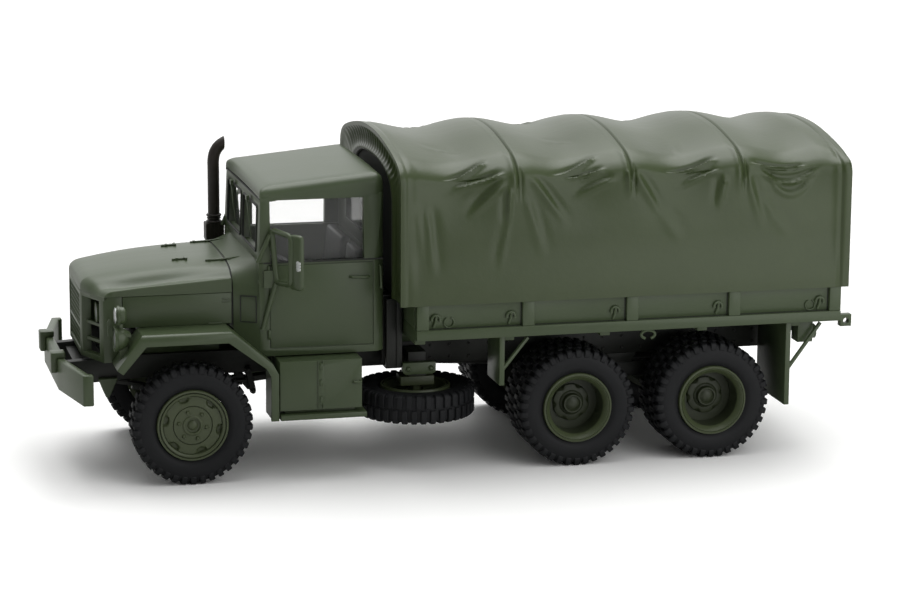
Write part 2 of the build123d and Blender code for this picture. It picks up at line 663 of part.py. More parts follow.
with BuildPart() as cab:
    outline = [(at(cowl_front), cowl_top_z), (at(cowl_front), toe_top_z), (toe_foot_x, cab_bottom),
               (at(cab_rear), cab_bottom), (at(cab_rear), sill_z), (at(windscreen), sill_z)]
    side_profile(outline, (-cab_half_width, cab_half_width))
    profile(Plane.XY.offset(cab_bottom - wall), cab_plan(0), 2 * door_height, Mode.INTERSECT)
    rear_corners = cab.edges().filter_by(Axis.Z).group_by(Axis.X)[0]
    fillet(rear_corners, cab_corner)
    for side, _ in SIDES:
        shoulder = [(hood_half_width - cowl_flat, cowl_top_z),
                    (hood_half_width - cowl_ledge, hood_top_z - cowl_cove),
                    (hood_half_width, hood_top_z - cowl_crease),
                    (half_width, hood_top_z - cowl_crease - plan_margin),
                    (half_width, sill_z), (hood_half_width - cowl_flat, sill_z)]
        shoulder = [(side * y, z) for y, z in shoulder]
        profile(Plane.YZ.offset(at(windscreen)), shoulder, 2 * windscreen_setback, Mode.SUBTRACT)
    add(cab_inside.part, mode=Mode.SUBTRACT)
    for side, _ in SIDES:
        outside = max(side * cab_half_width, side * (cab_half_width - groove))
        with BuildSketch(Plane.XZ.offset(-outside)):
            with Locations((at((door_front + door_rear) / 2), (door_low + door_high) / 2)):
                Rectangle(door_length, door_rise)
                Rectangle(door_length - 2 * groove, door_rise - 2 * groove, mode=Mode.SUBTRACT)
        extrude(amount=groove, mode=Mode.SUBTRACT)
save(cab, "cab")

# Hardtop: roof, pillars and windscreen frame in one moulding, with its windows cut
roof_inset = 0.5
screen_rake, visor_drop, visor_height, visor_slope = 0.2, 1.9, 1.0, 0.35
roof_edge, roof_setback, roof_rear_slope, roof_rear_drop = 0.8, 1.2, 0.8, 1.0
hardtop_bottom = sill_z + body_gap


def hardtop_form(inset):
    """The hardtop's form, drawn in by an inset on its sides, ends and roof; rounded only on the outside."""
    front, rear, top = at(windscreen) - inset, at(cab_rear) + inset, roof_z - inset
    foot, eave = cab_half_width - inset, cab_half_width - roof_inset - inset
    ends = [(front, hardtop_bottom), (front - screen_rake, top - visor_drop),
            (front - screen_rake - visor_slope, top - visor_drop + visor_height),
            (front - roof_setback, top), (rear + roof_rear_slope, top), (rear, top - roof_rear_drop),
            (rear, hardtop_bottom)]
    with BuildPart() as form:
        profile(Plane.XZ, ends, cab_half_width, both=True)
        with BuildSketch(Plane.YZ.offset(rear)) as section:
            with BuildLine():
                Polyline((-foot, hardtop_bottom), (foot, hardtop_bottom), (eave, top), (-eave, top),
                         close=True)
            make_face()
            if inset == 0:
                fillet(section.vertices().group_by(Axis.Y)[-1], roof_edge)
        extrude(amount=front - rear, mode=Mode.INTERSECT)
        with BuildSketch(Plane.XY.offset(hardtop_bottom)) as plan:
            with Locations(((front + rear) / 2, 0)):
                Rectangle(front - rear, 2 * foot)
            if inset == 0:
                fillet(plan.vertices().group_by(Axis.X)[0], cab_corner)
        extrude(amount=roof_height, mode=Mode.INTERSECT)
    return form.part


window_low, window_high = sill_z + 0.5, roof_z - 1.8
window_front, window_rear = windscreen - 1.1, cab_rear + 2.1
screen_inner, screen_outer = 0.45, cab_half_width - 1.75
screen_low, screen_high = sill_z + 0.8, roof_z - 2.5
rear_window_half, rear_window_low, rear_window_high = 5.2, sill_z + 1.3, roof_z - 2.7
with BuildPart() as hardtop:
    add(hardtop_form(0))
    add(hardtop_form(cab_wall), mode=Mode.SUBTRACT)
    block((at(window_front), at(window_rear)), (-half_width, half_width), (window_low, window_high),
          Mode.SUBTRACT)
    screen_x = (at(windscreen) - 2 * cab_wall, at(windscreen) + cab_wall)
    for side, _ in SIDES:
        block(screen_x, (side * screen_inner, side * screen_outer), (screen_low, screen_high), Mode.SUBTRACT)
    rear_window_x = (at(cab_rear) - cab_wall, at(cab_rear) + 2 * cab_wall)
    block(rear_window_x, (-rear_window_half, rear_window_half), (rear_window_low, rear_window_high),
          Mode.SUBTRACT)
save(hardtop, "hardtop")

# Glazing: one clear liner that fits inside the hardtop, four walls without roof or floor
glass_thickness, glass_over = 0.3, 0.3
with BuildPart() as glazing:
    add(hardtop_form(cab_wall + seat_gap))
    add(hardtop_form(cab_wall + seat_gap + glass_thickness), mode=Mode.SUBTRACT)
    block((at(cab_rear), at(cowl_front)), (-cab_half_width, cab_half_width),
          (window_high + glass_over, roof_z + glass_over), Mode.SUBTRACT)
save(glazing, "glazing")
print("built the hood, fenders, cab and hardtop")

# Cab inside: seats on the floor, a dashboard under the windscreen and a steering wheel on its column
driver_inset = 5.25
driver_y = cab_half_width - driver_inset
seat_table = (("driver", driver_y, 4.4), ("passenger", -3.6, 7.2))  # name, middle y, width
seat_gap_behind, seat_depth, seat_height, seat_back = 0.7, 5.7, 3.8, 8.8
back_thickness, back_lean, seat_slope = 0.9, 0.6, 0.5
seat_rear = cab_rear + cab_wall + seat_gap_behind
with BuildPart() as seats:
    seat_top, back_top = floor_z + seat_height, floor_z + seat_back
    outline = [(at(seat_rear + seat_depth), floor_z), (at(seat_rear + seat_depth), seat_top),
               (at(seat_rear + back_thickness + back_lean), seat_top - seat_slope),
               (at(seat_rear + back_thickness), back_top), (at(seat_rear), back_top),
               (at(seat_rear), floor_z)]
    for _, y, width in seat_table:
        side_profile(outline, (y - width / 2, y + width / 2))
save(seats, "seats")

dash_depth, dash_cut, dash_top, dash_edge, dash_low, dash_foot = 1.6, 0.4, 0.2, 0.8, 2.9, 3.5
dash_front = windscreen - cab_wall
with BuildPart() as dashboard:
    inner = cab_half_width - cab_wall - body_gap
    front, rear = at(dash_front) - body_gap, at(dash_front - dash_depth)
    outline = [(front, sill_z - dash_top), (rear, sill_z - dash_edge), (rear + dash_cut, sill_z - dash_low),
               (front, sill_z - dash_foot)]
    side_profile(outline, (-inner, inner))
save(dashboard, "dashboard")

steering_setback, steering_drop = 3.7, 1.2
steering_radius, steering_bar = 1.9, 0.44
column_run, column_drop, column_radius = 3.2, 5.46, 0.28
with BuildPart() as steering_wheel:
    head = (at(windscreen - steering_setback), driver_y, sill_z - steering_drop)
    foot = (head[0] + column_run, driver_y, head[2] - column_drop)
    rod(foot, head, column_radius)
    wheel_plane = Plane(origin=head, x_dir=(0, 1, 0), z_dir=Vector(*head) - Vector(*foot))
    with BuildSketch(wheel_plane.offset(-steering_bar / 2)):
        RegularPolygon(steering_radius + steering_bar / 2, round(BOSS_FLATS))
        RegularPolygon(steering_radius - steering_bar / 2, round(BOSS_FLATS), mode=Mode.SUBTRACT)
        with PolarLocations(0, 3, angular_range=180):
            Rectangle(2 * steering_radius, steering_bar)
    extrude(amount=steering_bar)
save(steering_wheel, "steering_wheel")

# Exhaust stack on the right of the cowl: a base box, a collar and a pipe that bends back at its tip
stack_lead, stack_clearance, stack_radius, stack_flats = 0.95, 0.8, 0.58, 10
stack_x, stack_y = at(windscreen + stack_lead), -(cab_half_width + stack_clearance)
stack_foot, stack_bracket, bracket_half, bracket_end = cab_bottom + 1.8, cab_bottom + 4.5, 0.3, 0.35
stack_base, stack_base_height, stack_base_half, stack_base_depth = sill_z - 1.5, 1.8, 1.0, 0.75
collar_height, collar_rim, stem_radius = 0.85, 0.2, 0.5
stack_bend = sill_z + 6.9
bend_table = ((0.25, 0.9), (0.85, 1.7), (1.75, 2.3))  # run back, rise above the bend
stack_tip = 1.35
with BuildPart() as exhaust_stack:
    base_top = stack_base + stack_base_height
    collar_top = base_top + collar_height
    block((stack_x - stack_base_half, stack_x + stack_base_half),
          (stack_y - stack_base_depth, stack_y + stack_base_depth), (stack_base, base_top))
    rod((stack_x, stack_y, stack_foot), (stack_x, stack_y, stack_base), stem_radius)
    block((stack_x - bracket_half, stack_x + bracket_half), (stack_y, bracket_end - cab_half_width),
          (stack_bracket, stack_bracket + 2 * bracket_half))
    rod((stack_x, stack_y, base_top), (stack_x, stack_y, collar_top), stack_radius + collar_rim, stack_flats)
    with BuildLine() as route:
        Polyline((stack_x, stack_y, base_top), (stack_x, stack_y, stack_bend),
                 *[(stack_x - run, stack_y, stack_bend + rise) for run, rise in bend_table])
    with BuildSketch(Plane.XY.offset(base_top)) as pipe_section:
        with Locations((stack_x, stack_y)):
            RegularPolygon(stack_radius, round(stack_flats))
    sweep(path=route.line, transition=Transition.RIGHT)
    cut_x, cut_half = stack_x - stack_tip, 2 * stack_radius
    block((cut_x, cut_x - 2 * cut_half), (stack_y - cut_half, stack_y + cut_half),
          (stack_bend, stack_bend + 4 * cut_half), Mode.SUBTRACT)
save(exhaust_stack, "exhaust_stack")

# Mirrors: a tall head on a loop of tube that stands out from the windscreen pillar on two short feet
mirror_bar, loop_inset, loop_reach, loop_sweep = 0.28, 0.9, 3.3, 1.4
loop_low, loop_high = sill_z - 1.9, sill_z + 2.9
head_half_width, head_corner, head_thickness, head_over = 0.85, 0.35, 0.5, 0.25
foot_table = ((sill_z - 1.5, 0.0), (sill_z + 1.8, 0.1))  # height, sink into the cab's side or pillar
for side, side_name in SIDES:
    with BuildPart() as mirror:
        inner_x, outer_x = at(windscreen - loop_inset), at(windscreen - loop_inset - loop_sweep)
        inner_y, outer_y = side * (cab_half_width + mirror_bar), side * (cab_half_width + loop_reach)
        bar_low, bar_high = loop_low - mirror_bar, loop_high + mirror_bar
        rod((inner_x, inner_y, bar_low), (inner_x, inner_y, bar_high), mirror_bar)
        rod((outer_x, outer_y, bar_low), (outer_x, outer_y, bar_high), mirror_bar)
        for z in (loop_low, loop_high):
            rod((inner_x, inner_y, z), (outer_x, outer_y, z), mirror_bar)
        for z, sink in foot_table:
            rod((inner_x, side * (cab_half_width - sink), z), (inner_x, inner_y, z), mirror_bar)
        left, right = outer_y - head_half_width, outer_y + head_half_width
        low, high = loop_low - head_over, loop_high + head_over
        head = [(left + head_corner, low), (right - head_corner, low), (right, low + head_corner),
                (right, high - head_corner), (right - head_corner, high), (left + head_corner, high),
                (left, high - head_corner), (left, low + head_corner)]
        profile(Plane.YZ.offset(outer_x - head_thickness), head, head_thickness)
    save(mirror, f"{side_name}_mirror")

# Step boxes under the doors, with a hinged front and a step lip; the right one holds the batteries
step_lip, box_gap = 0.4, 0.22
box_lead, box_drop, box_inset = 0.15, 0.15, 0.3
box_front, box_rear = fender_tail - box_lead, spare_station + tyre_radius + step_lip + box_gap
box_top, box_height, box_depth = cab_bottom - box_drop, 4.85, 4.6
box_outer = fender_half_width - box_inset
step_out, step_height, step_drop, plinth_inset = 0.5, 0.5, 0.85, 0.6
hinge_half, hinge_depth, hinge_inset = 0.25, 0.15, 0.5
latch_length, latch_height, latch_inset = 0.6, 0.25, 0.3
arm_height, arm_inset = 0.8, 1.5
for side, name in ((1, "left_tool_box"), (-1, "right_battery_box")):
    with BuildPart() as box:
        box_bottom = box_top - box_height
        inner_y, outer_y = side * (box_outer - box_depth), side * box_outer
        step_z = box_bottom - step_drop
        middle, half_z = (box_front + box_rear) / 2, (box_bottom + box_top) / 2
        block((at(box_front), at(box_rear)), (inner_y, outer_y), (box_bottom, box_top))
        trim_y = (outer_y, outer_y + side * hinge_depth)
        latch_rear = box_rear + latch_inset
        block((at(box_front), at(box_rear - step_lip)), (inner_y, outer_y + side * step_out),
              (step_z, step_z + step_height))
        block((at(box_front - plinth_inset), at(box_rear + plinth_inset)),
              (inner_y, outer_y - side * plinth_inset), (step_z, box_bottom))
        block((at(middle - hinge_half), at(middle + hinge_half)), trim_y,
              (box_bottom + hinge_inset, box_top - hinge_inset))
        block((at(latch_rear), at(latch_rear + latch_length)), trim_y, (half_z, half_z + latch_height))
        block((at(box_front - arm_inset), at(box_rear + arm_inset)), (side * frame_half_width, inner_y),
              (half_z, half_z + arm_height))
    save(box, name)

# Fuel tank on the right behind the battery box
tank_lead, tank_length, tank_height, tank_drop = 1.4, 7.0, 5.4, 0.1
tank_inset, tank_clearance, tank_corner = 1.8, 1.8, 0.9
filler_radius, filler_height = 0.8, 0.4
strap_half, strap_z, strap_height, strap_share = 0.4, 0.5, 0.8, 0.33
tank_front = spare_station + tank_lead
tank_top = cab_bottom - tank_drop
with BuildPart() as fuel_tank:
    outer_y = -(half_width - tank_inset)
    inner_y = -(frame_half_width + tank_clearance)
    tank_middle = tank_front - tank_length / 2
    block((at(tank_front), at(tank_front - tank_length)), (inner_y, outer_y),
          (tank_top - tank_height, tank_top))
    chamfer(fuel_tank.edges().filter_by(Axis.X), tank_corner)
    filler = (at(tank_middle), (inner_y + outer_y) / 2, tank_top)
    rod(filler, (filler[0], filler[1], tank_top + filler_height), filler_radius, BOSS_FLATS)
    for end in (1, -1):
        x = at(tank_middle + end * strap_share * tank_length)
        block((x - strap_half, x + strap_half), (-frame_half_width, inner_y),
              (frame_bottom + strap_z, frame_bottom + strap_z + strap_height))
save(fuel_tank, "fuel_tank")

# Load bed: floor with side rails, long sills on the frame, cross sills, and rear corner brackets with eyes
rail_depth, floor_inset = 0.8, 0.2
bracket_drop, bracket_top_drop = 0.6, 0.4
eye_radius, eye_inset, eye_drop = 0.3, 0.55, 0.05
sill_half, sill_depth, sill_inset = 0.5, 0.5, 0.5
rear_flap_clearance = 1.57
sill_shares = (0.33, 0.67)
rear_flap = -(wheelbase + bogie_spacing) - tyre_radius - rear_flap_clearance
flap_sills = [station - flap_thickness - sill_half for station in (front_flap, rear_flap)]
between = [flap_sills[0] + share * (flap_sills[1] - flap_sills[0]) for share in sill_shares]
sill_stations = [bed_front - sill_half] + flap_sills + between
with BuildPart() as bed_floor:
    floor_half = half_width - rail_depth
    block((at(bed_front), at(bed_rear)), (-floor_half, floor_half), (bed_bottom + floor_inset, bed_floor_z))
    for side, _ in SIDES:
        rail_y = (side * floor_half, side * half_width)
        block((at(bed_front), at(bed_rear)), rail_y, (bed_bottom, bed_floor_z))
        long_sill_y = (side * frame_half_width, side * (frame_half_width - rail_width))
        block((at(bed_front - sill_inset), at(frame_rear + sill_inset)), long_sill_y,
              (frame_top, bed_bottom + floor_inset))
        block((at(bed_rear), at(bracket_rear)), rail_y,
              (bed_bottom - bracket_drop, bed_floor_z - bracket_top_drop))
        eye = (at(bracket_rear + eye_inset), bed_bottom - eye_drop)
        rod((eye[0], rail_y[0], eye[1]), (eye[0], rail_y[1], eye[1]), eye_radius, 0, Mode.SUBTRACT)
    for station in sill_stations:
        block((at(station - sill_half), at(station + sill_half)), (-floor_half, floor_half),
              (bed_bottom - sill_depth, bed_bottom + floor_inset))
save(bed_floor, "bed_floor")

# Bed sides: a board with stake pockets along its outside, evenly spaced under the cover's bows
bay_count = 4
bay_length = (cover_front - cover_rear) / bay_count
pocket_half, pocket_depth, pocket_inset = 0.6, 0.45, 0.6
pocket_span = bed_front - bed_rear - 2 * pocket_inset
for side, side_name in SIDES:
    with BuildPart() as bed_side:
        board = bed_side_y + bed_side_thickness
        block((at(bed_front), at(bed_rear)), (side * bed_side_y, side * board), (bed_floor_z, bed_side_top))
        for i in range(bay_count + 1):
            x = at(bed_front - pocket_inset - i * pocket_span / bay_count)
            block((x - pocket_half, x + pocket_half), (side * board, side * (board + pocket_depth)),
                  (bed_floor_z, cover_hem_z))
    save(bed_side, f"{side_name}_bed_side")

end_thickness = 0.6
for name, front in (("headboard", bed_front), ("tailgate", bed_rear + end_thickness)):
    with BuildPart() as board:
        inner = bed_side_y - body_gap
        block((at(front), at(front - end_thickness)), (-inner, inner), (bed_floor_z, bed_side_top))
    save(board, name)

# Cover: a shell over five bows that sags between them, with an arched opening in each end
cover_sag, tail_fall = 0.9, 0.6
sag_shares = (0.0, 0.5, 1.0, 0.5)
# Both tables give a share of the half width, and the fall from the crown there
arch_table = ((0.50, 0.65), (0.80, 1.6), (0.945, 2.45), (1.0, 3.4))
mouth_table = ((0.0, 3.05), (0.60, 3.5), (0.90, 4.6), (1.0, 6.0))
mouth_half = 9.3


def arch(half, crown, bottom):
    """Hooped outline of the cover as (y, z) points, from a half width, a crown height and a bottom edge."""
    right = [(half * share, crown - fall) for share, fall in arch_table] + [(half, bottom)]
    return [(0, crown)] + right + [(-y, z) for y, z in right[::-1]]


with BuildPart() as cover_inside:
    inner_arch = arch(cover_half_width - cover_wall, cover_top_z - cover_sag - cover_wall, bed_bottom)
    inner_length = cover_front - cover_rear - 2 * cover_wall
    profile(Plane.YZ.offset(at(cover_rear) + cover_wall), inner_arch, inner_length)

with BuildPart() as cover:
    steps = bay_count * len(sag_shares)
    for i in range(steps + 1):
        fall = tail_fall if i == steps else cover_sag * sag_shares[i % len(sag_shares)]
        station = cover_front - i * bay_length / len(sag_shares)
        with BuildSketch(Plane.YZ.offset(at(station))):
            with BuildLine():
                Polyline(*arch(cover_half_width, cover_top_z - fall, cover_hem_z), close=True)
            make_face()
    loft(ruled=True)
    add(cover_inside.part, mode=Mode.SUBTRACT)
    right = [(mouth_half * share, cover_top_z - fall) for share, fall in mouth_table]
    right.append((mouth_half, bed_bottom))
    mouth = right + [(-y, z) for y, z in right[:0:-1]]
    profile(Plane.YZ.offset(at(cover_rear) - cover_wall), mouth, cover_front - cover_rear + 2 * cover_wall,
            Mode.SUBTRACT)
save(cover, "cover")

# Mud flaps hung under the bed, each with a brace
flap_inset, brace_inset, brace_radius, brace_sink, brace_bite = 0.6, 0.3, 0.22, 0.3, 0.1
flap_table = (  # station of the front face, inner y, height, brace's run, brace's foot below the bed
    (front_flap, frame_half_width + 4.0, 4.9, 2.4, 3.4),
    (rear_flap, frame_half_width + 0.4, 8.45, 3.2, 4.8),
)
with BuildPart() as mud_flaps:
    flap_top = bed_bottom - body_gap
    outer_y = half_width - flap_inset
    for station, inner_y, height, run, foot in flap_table:
        for side, _ in SIDES:
            rear = at(station - flap_thickness)
            brace_y = side * (outer_y - brace_inset)
            block((at(station), rear), (side * inner_y, side * outer_y), (flap_top - height, flap_top))
            rod((rear + brace_bite, brace_y, bed_bottom - foot),
                (rear - run, brace_y, bed_bottom - brace_sink), brace_radius)
save(mud_flaps, "mud_flaps")

# Tail lamps on brackets under the rear sill, and the pintle hook on the last cross member
lamp_lead, lamp_length, lamp_width, lamp_inset = 1.4, 1.6, 1.8, 1.6
lens_radius, lens_depth, lens_rise, housing_drop = 0.75, 0.5, 0.6, 0.3
with BuildPart() as tail_lamps:
    lamp_face = frame_rear + lamp_lead - lamp_length
    outer_y = half_width - lamp_inset
    for side, _ in SIDES:
        y, z = side * (outer_y - lamp_width / 2), frame_top + lens_rise
        block((at(frame_rear + lamp_lead), at(lamp_face)), (side * (outer_y - lamp_width), side * outer_y),
              (frame_top - housing_drop, bed_bottom - body_gap))
        rod((at(lamp_face), y, z), (at(lamp_face - lens_depth), y, z), lens_radius, BOSS_FLATS)
save(tail_lamps, "tail_lamps")

pintle_z = frame_bottom + frame_height / 2
plate_half_width, plate_half_height, plate_thickness, plate_bite = 1.2, 0.8, 0.5, 0.1
shank_length, shank_radius = 1.1, 0.45
ring_radius, ring_bore, ring_width = 0.95, 0.5, 0.8
with BuildPart() as pintle_hook:
    plate_x = at(frame_rear) + plate_bite
    shank_x = plate_x - plate_thickness
    block((plate_x, shank_x), (-plate_half_width, plate_half_width),
          (pintle_z - plate_half_height, pintle_z + plate_half_height))
    rod((shank_x, 0, pintle_z), (shank_x - shank_length, 0, pintle_z), shank_radius)
    ring_x = shank_x - shank_length - ring_bore
    ring_plane = Plane(origin=(ring_x, 0, pintle_z), x_dir=(1, 0, 0), z_dir=(0, 1, 0))
    barrel(ring_plane, -ring_width / 2, ring_width / 2, ring_radius, BOSS_FLATS)
    barrel(ring_plane, -ring_width / 2, ring_width / 2, ring_bore, 0, Mode.SUBTRACT)
save(pintle_hook, "pintle_hook")
print("built the cab inside, boxes, bed and cover")
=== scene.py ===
# %% [markdown]
# A scale model of a six-wheeled military cargo truck, moulded in olive plastic, dressed around its packed
# solids. The solids give every place and size, so this lesson starts by loading them. What they hold
# right is copied and given soft edges; what needs finer form, such as the cover's folds or the tyres'
# lugs, is built anew.

# %% Load the frame
import math

import bmesh
import bpy
import numpy as np
from mathutils import Matrix, Vector


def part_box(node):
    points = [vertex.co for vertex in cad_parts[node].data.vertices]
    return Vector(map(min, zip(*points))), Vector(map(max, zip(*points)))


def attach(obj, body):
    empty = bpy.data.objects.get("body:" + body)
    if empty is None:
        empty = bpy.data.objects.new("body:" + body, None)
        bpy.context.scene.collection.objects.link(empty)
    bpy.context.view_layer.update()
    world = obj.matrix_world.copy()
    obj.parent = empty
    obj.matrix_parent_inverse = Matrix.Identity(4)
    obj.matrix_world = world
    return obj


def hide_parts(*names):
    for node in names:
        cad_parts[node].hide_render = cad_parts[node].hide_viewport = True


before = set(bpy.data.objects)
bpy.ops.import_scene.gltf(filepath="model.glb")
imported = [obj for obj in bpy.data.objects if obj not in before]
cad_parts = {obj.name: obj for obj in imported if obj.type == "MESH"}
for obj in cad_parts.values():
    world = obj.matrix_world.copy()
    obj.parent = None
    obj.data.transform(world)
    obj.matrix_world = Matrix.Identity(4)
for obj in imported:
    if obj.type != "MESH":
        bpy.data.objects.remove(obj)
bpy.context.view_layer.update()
MM = 0.001
SIDES = ((1, "left"), (-1, "right"))
tyre_low, tyre_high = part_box("front_left_tyre")
axle_x = (tyre_low.x + tyre_high.x) / 2 / MM
print("nodes", len(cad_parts), "front axle at x", round(axle_x, 2), "mm")


def limits(node):
    """Lowest and highest corner of a node, in millimetres."""
    low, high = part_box(node)
    return low / MM, high / MM


def middle_of(node):
    """Middle of a node's box, in millimetres."""
    low, high = limits(node)
    return (low + high) / 2


def at(station):
    """X in millimetres of a station measured forward from the front axle."""
    return axle_x + station


# %% [markdown]
# Each finish is a small node tree. One function turns hex colours to linear light and one adds a node, so
# a material reads as a list of its layers. Pattern sizes are given in millimetres and turned into scales.

# %% Material helpers
def linear(hex_colour):
    """Linear RGBA from an sRGB hex string."""
    channels = [int(hex_colour[i:i + 2], 16) / 255 for i in (1, 3, 5)]
    return [c / 12.92 if c <= 0.04045 else ((c + 0.055) / 1.055) ** 2.4 for c in channels] + [1.0]


def add_node(tree, kind, settings=None, **inputs):
    """Add a node, set its properties, and set or link its inputs; an underscore stands for a space."""
    node = tree.nodes.new(kind)
    for key, value in (settings or {}).items():
        setattr(node, key, value)
    for key, value in inputs.items():
        socket = node.inputs[int(key[1:])] if key[1:].isdigit() else node.inputs[key.replace("_", " ")]
        if isinstance(value, bpy.types.NodeSocket):
            tree.links.new(value, socket)
        else:
            socket.default_value = value
    return node


def empty_tree(owner):
    """The node tree of a material or world, emptied of what it starts with."""
    owner.use_nodes = True
    owner.node_tree.nodes.clear()
    return owner.node_tree


def per_mm(size):
    """Texture scale whose pattern repeats about every size millimetres."""
    return 1 / (size * MM)


def moulded(name, dark, light, rough, mottle, grain, depth, metallic=0.0, ior=1.5):
    """Opaque finish: two close colours in soft patches, a little spread of gloss, and a fine grain."""
    material = bpy.data.materials.new(name)
    tree = empty_tree(material)
    place = add_node(tree, "ShaderNodeTexCoord").outputs["Object"]
    patches = add_node(tree, "ShaderNodeTexNoise", Vector=place, Scale=per_mm(mottle), Detail=4.0,
                       Roughness=0.6)
    colour = add_node(tree, "ShaderNodeValToRGB", Fac=patches.outputs["Fac"])
    for stop, place_on_ramp, tone in zip(colour.color_ramp.elements, (0.3, 0.7), (dark, light)):
        stop.position = place_on_ramp
        stop.color = linear(tone)
    gloss = add_node(tree, "ShaderNodeMapRange", Value=patches.outputs["Fac"], To_Min=rough[0],
                     To_Max=rough[1])
    # The true grain of a mould is finer than a pixel here, so it is drawn coarser, at the size given
    pits = add_node(tree, "ShaderNodeTexNoise", Vector=place, Scale=per_mm(grain), Detail=2.0)
    bump = add_node(tree, "ShaderNodeBump", Strength=0.35, Distance=depth * MM, Height=pits.outputs["Fac"])
    shader = add_node(tree, "ShaderNodeBsdfPrincipled", Base_Color=colour.outputs["Color"], Metallic=metallic,
                      IOR=ior, Roughness=gloss.outputs["Result"], Normal=bump.outputs["Normal"])
    add_node(tree, "ShaderNodeOutputMaterial", Surface=shader.outputs["BSDF"])
    return material


print("mid grey in linear light", round(linear("#808080")[0], 3))

# %% [markdown]
# The body is polystyrene moulded in olive drab: satin, with a faint drift of tone from the mould. The
# cover is the same plastic from a smoother tool, so it shines a little more. Tyres are soft black vinyl,
# and the running gear is a dark olive, made near-black with painted shade. A painted look could be baked
# to images, but two close colours and a fine grain say enough.

# %% Plastics, vinyl and lamp silver
# Each: dark and light tone, range of roughness, then size of patches and of grain and grain depth in mm
# Moulded polystyrene, olive drab: satin, so broad soft highlights on edges and coves
body_olive = moulded("moulded_polystyrene_olive", "#435036", "#49563b", (0.3, 0.4), 9.0, 0.35, 0.02)
# The cover's skin is the same plastic, polished where the tool was, so it shines on its folds
cover_olive = moulded("moulded_polystyrene_cover", "#3d492b", "#434f31", (0.27, 0.37), 7.0, 0.5, 0.03,
                      ior=1.47)
# Rims are moulded in a slightly yellower olive
rim_olive = moulded("moulded_polystyrene_rim", "#454e34", "#4b5439", (0.34, 0.44), 4.0, 0.3, 0.02)
# Painted shade for the rims' dishes, which hold less light: the same olive, darker
rim_painted_shade = moulded("moulded_polystyrene_rim_dish", "#2b321f", "#333a26", (0.4, 0.5), 4.0, 0.3, 0.02)
# Frame and axles: dark olive plastic, made darker and duller as painted shade, because light hardly reaches
# it
chassis_olive_and_painted_shade = moulded("moulded_polystyrene_chassis", "#181b16", "#1e211a", (0.45, 0.55), 5.0, 0.3, 0.02)
# Exhaust: brown-black plastic with a dry, heat-stained look
exhaust_brown = moulded("moulded_polystyrene_exhaust", "#241f1b", "#302922", (0.42, 0.55), 2.5, 0.3, 0.02)
# Cab inside: plain grey plastic
interior_grey = moulded("moulded_polystyrene_grey", "#38393b", "#3f4042", (0.45, 0.55), 6.0, 0.4, 0.02)
# Tyres: soft black vinyl, slightly blue, with a dull bloom
tyre_black = moulded("soft_vinyl_tyre", "#191a1c", "#1f2022", (0.55, 0.66), 3.0, 0.25, 0.03, ior=1.35)
# Lamp faces: silver paint on plastic, so metallic flake with a soft shine
lamp_silver = moulded("silver_paint_lamp", "#b4b8b8", "#cfd2d0", (0.25, 0.35), 0.5, 0.12, 0.01, metallic=0.9)
# Painted shade for lines and gaps that the mould leaves in deep shadow, and for hollows behind openings
shadow_line = moulded("moulded_polystyrene_shadow_line", "#1b1f19", "#20241d", (0.55, 0.65), 5.0, 0.3, 0.02)
# The rear window is clear plastic before a dark gap, so it is seen only by what it mirrors; its dark colour
# is painted shade of that gap
rear_pane_painted_shade = moulded("clear_polystyrene_over_dark", "#3a3d3c", "#404342", (0.05, 0.1), 6.0, 3.0, 0.01, ior=1.9)


def clear_plastic(name):
    """Clear polystyrene for the glazing: thin and see-through with a faint reflection."""
    material = bpy.data.materials.new(name)
    tree = empty_tree(material)
    place = add_node(tree, "ShaderNodeTexCoord").outputs["Object"]
    waves = add_node(tree, "ShaderNodeTexNoise", Vector=place, Scale=per_mm(6.0))
    bump = add_node(tree, "ShaderNodeBump", Strength=0.08, Distance=0.02 * MM, Height=waves.outputs["Fac"])
    glass = add_node(tree, "ShaderNodeBsdfPrincipled", Base_Color=linear("#f4f6f4"), Roughness=0.04, IOR=1.45,
                     Alpha=0.06, Normal=bump.outputs["Normal"])
    add_node(tree, "ShaderNodeOutputMaterial", Surface=glass.outputs["BSDF"])
    return material


FINISH = {
    "body_olive": body_olive, "cover_olive": cover_olive, "rim_olive": rim_olive,
    "chassis_dark_olive": chassis_olive_and_painted_shade, "exhaust_brown_black": exhaust_brown, "interior_grey": interior_grey,
    "lamp_silver": lamp_silver, "clear_glazing": clear_plastic("clear_polystyrene_glazing"),
    "tyre_black": tyre_black,
}
print("finishes", len(FINISH))

# %% [markdown]
# The camera stands where the photograph was taken from: far off with a long lens, a little above the
# bonnet. It is turned by its three axes in one matrix, because the photograph leans by a third of a
# degree.

# %% Camera
target = Vector((at(-28.241), 0, 14.431)) * MM
azimuth, elevation, roll = (math.radians(a) for a in (14.054, 12.237, 0.348))
camera_distance = 302.652 * MM
focal_px, picture_px, sensor = 2990.28, 900, 36
sight = Vector((math.sin(azimuth) * math.cos(elevation), math.cos(azimuth) * math.cos(elevation),
                math.sin(elevation)))
flat_right = Vector((0, 0, 1)).cross(sight).normalized()
flat_up = sight.cross(flat_right)
right = flat_right * math.cos(roll) + flat_up * math.sin(roll)
up = flat_up * math.cos(roll) - flat_right * math.sin(roll)
camera_data = bpy.data.cameras.new("camera")
camera_data.sensor_width = sensor
camera_data.lens = focal_px / picture_px * sensor
camera_data.clip_start = 0.01
camera = bpy.data.objects.new("camera", camera_data)
bpy.context.scene.collection.objects.link(camera)
camera.matrix_world = Matrix.Translation(target + sight * camera_distance) @ Matrix(
    (right, up, sight)).transposed().to_4x4()
bpy.context.scene.camera = camera
bpy.context.scene.view_settings.view_transform = "Standard"
print("camera at", [round(v / MM, 1) for v in camera.location], "mm")

# %% [markdown]
# The model stands on white paper in a light tent. Its light is a few soft gradients over the sky, so it
# needs no image, and only the camera and rays through the panes meet plain white behind it.

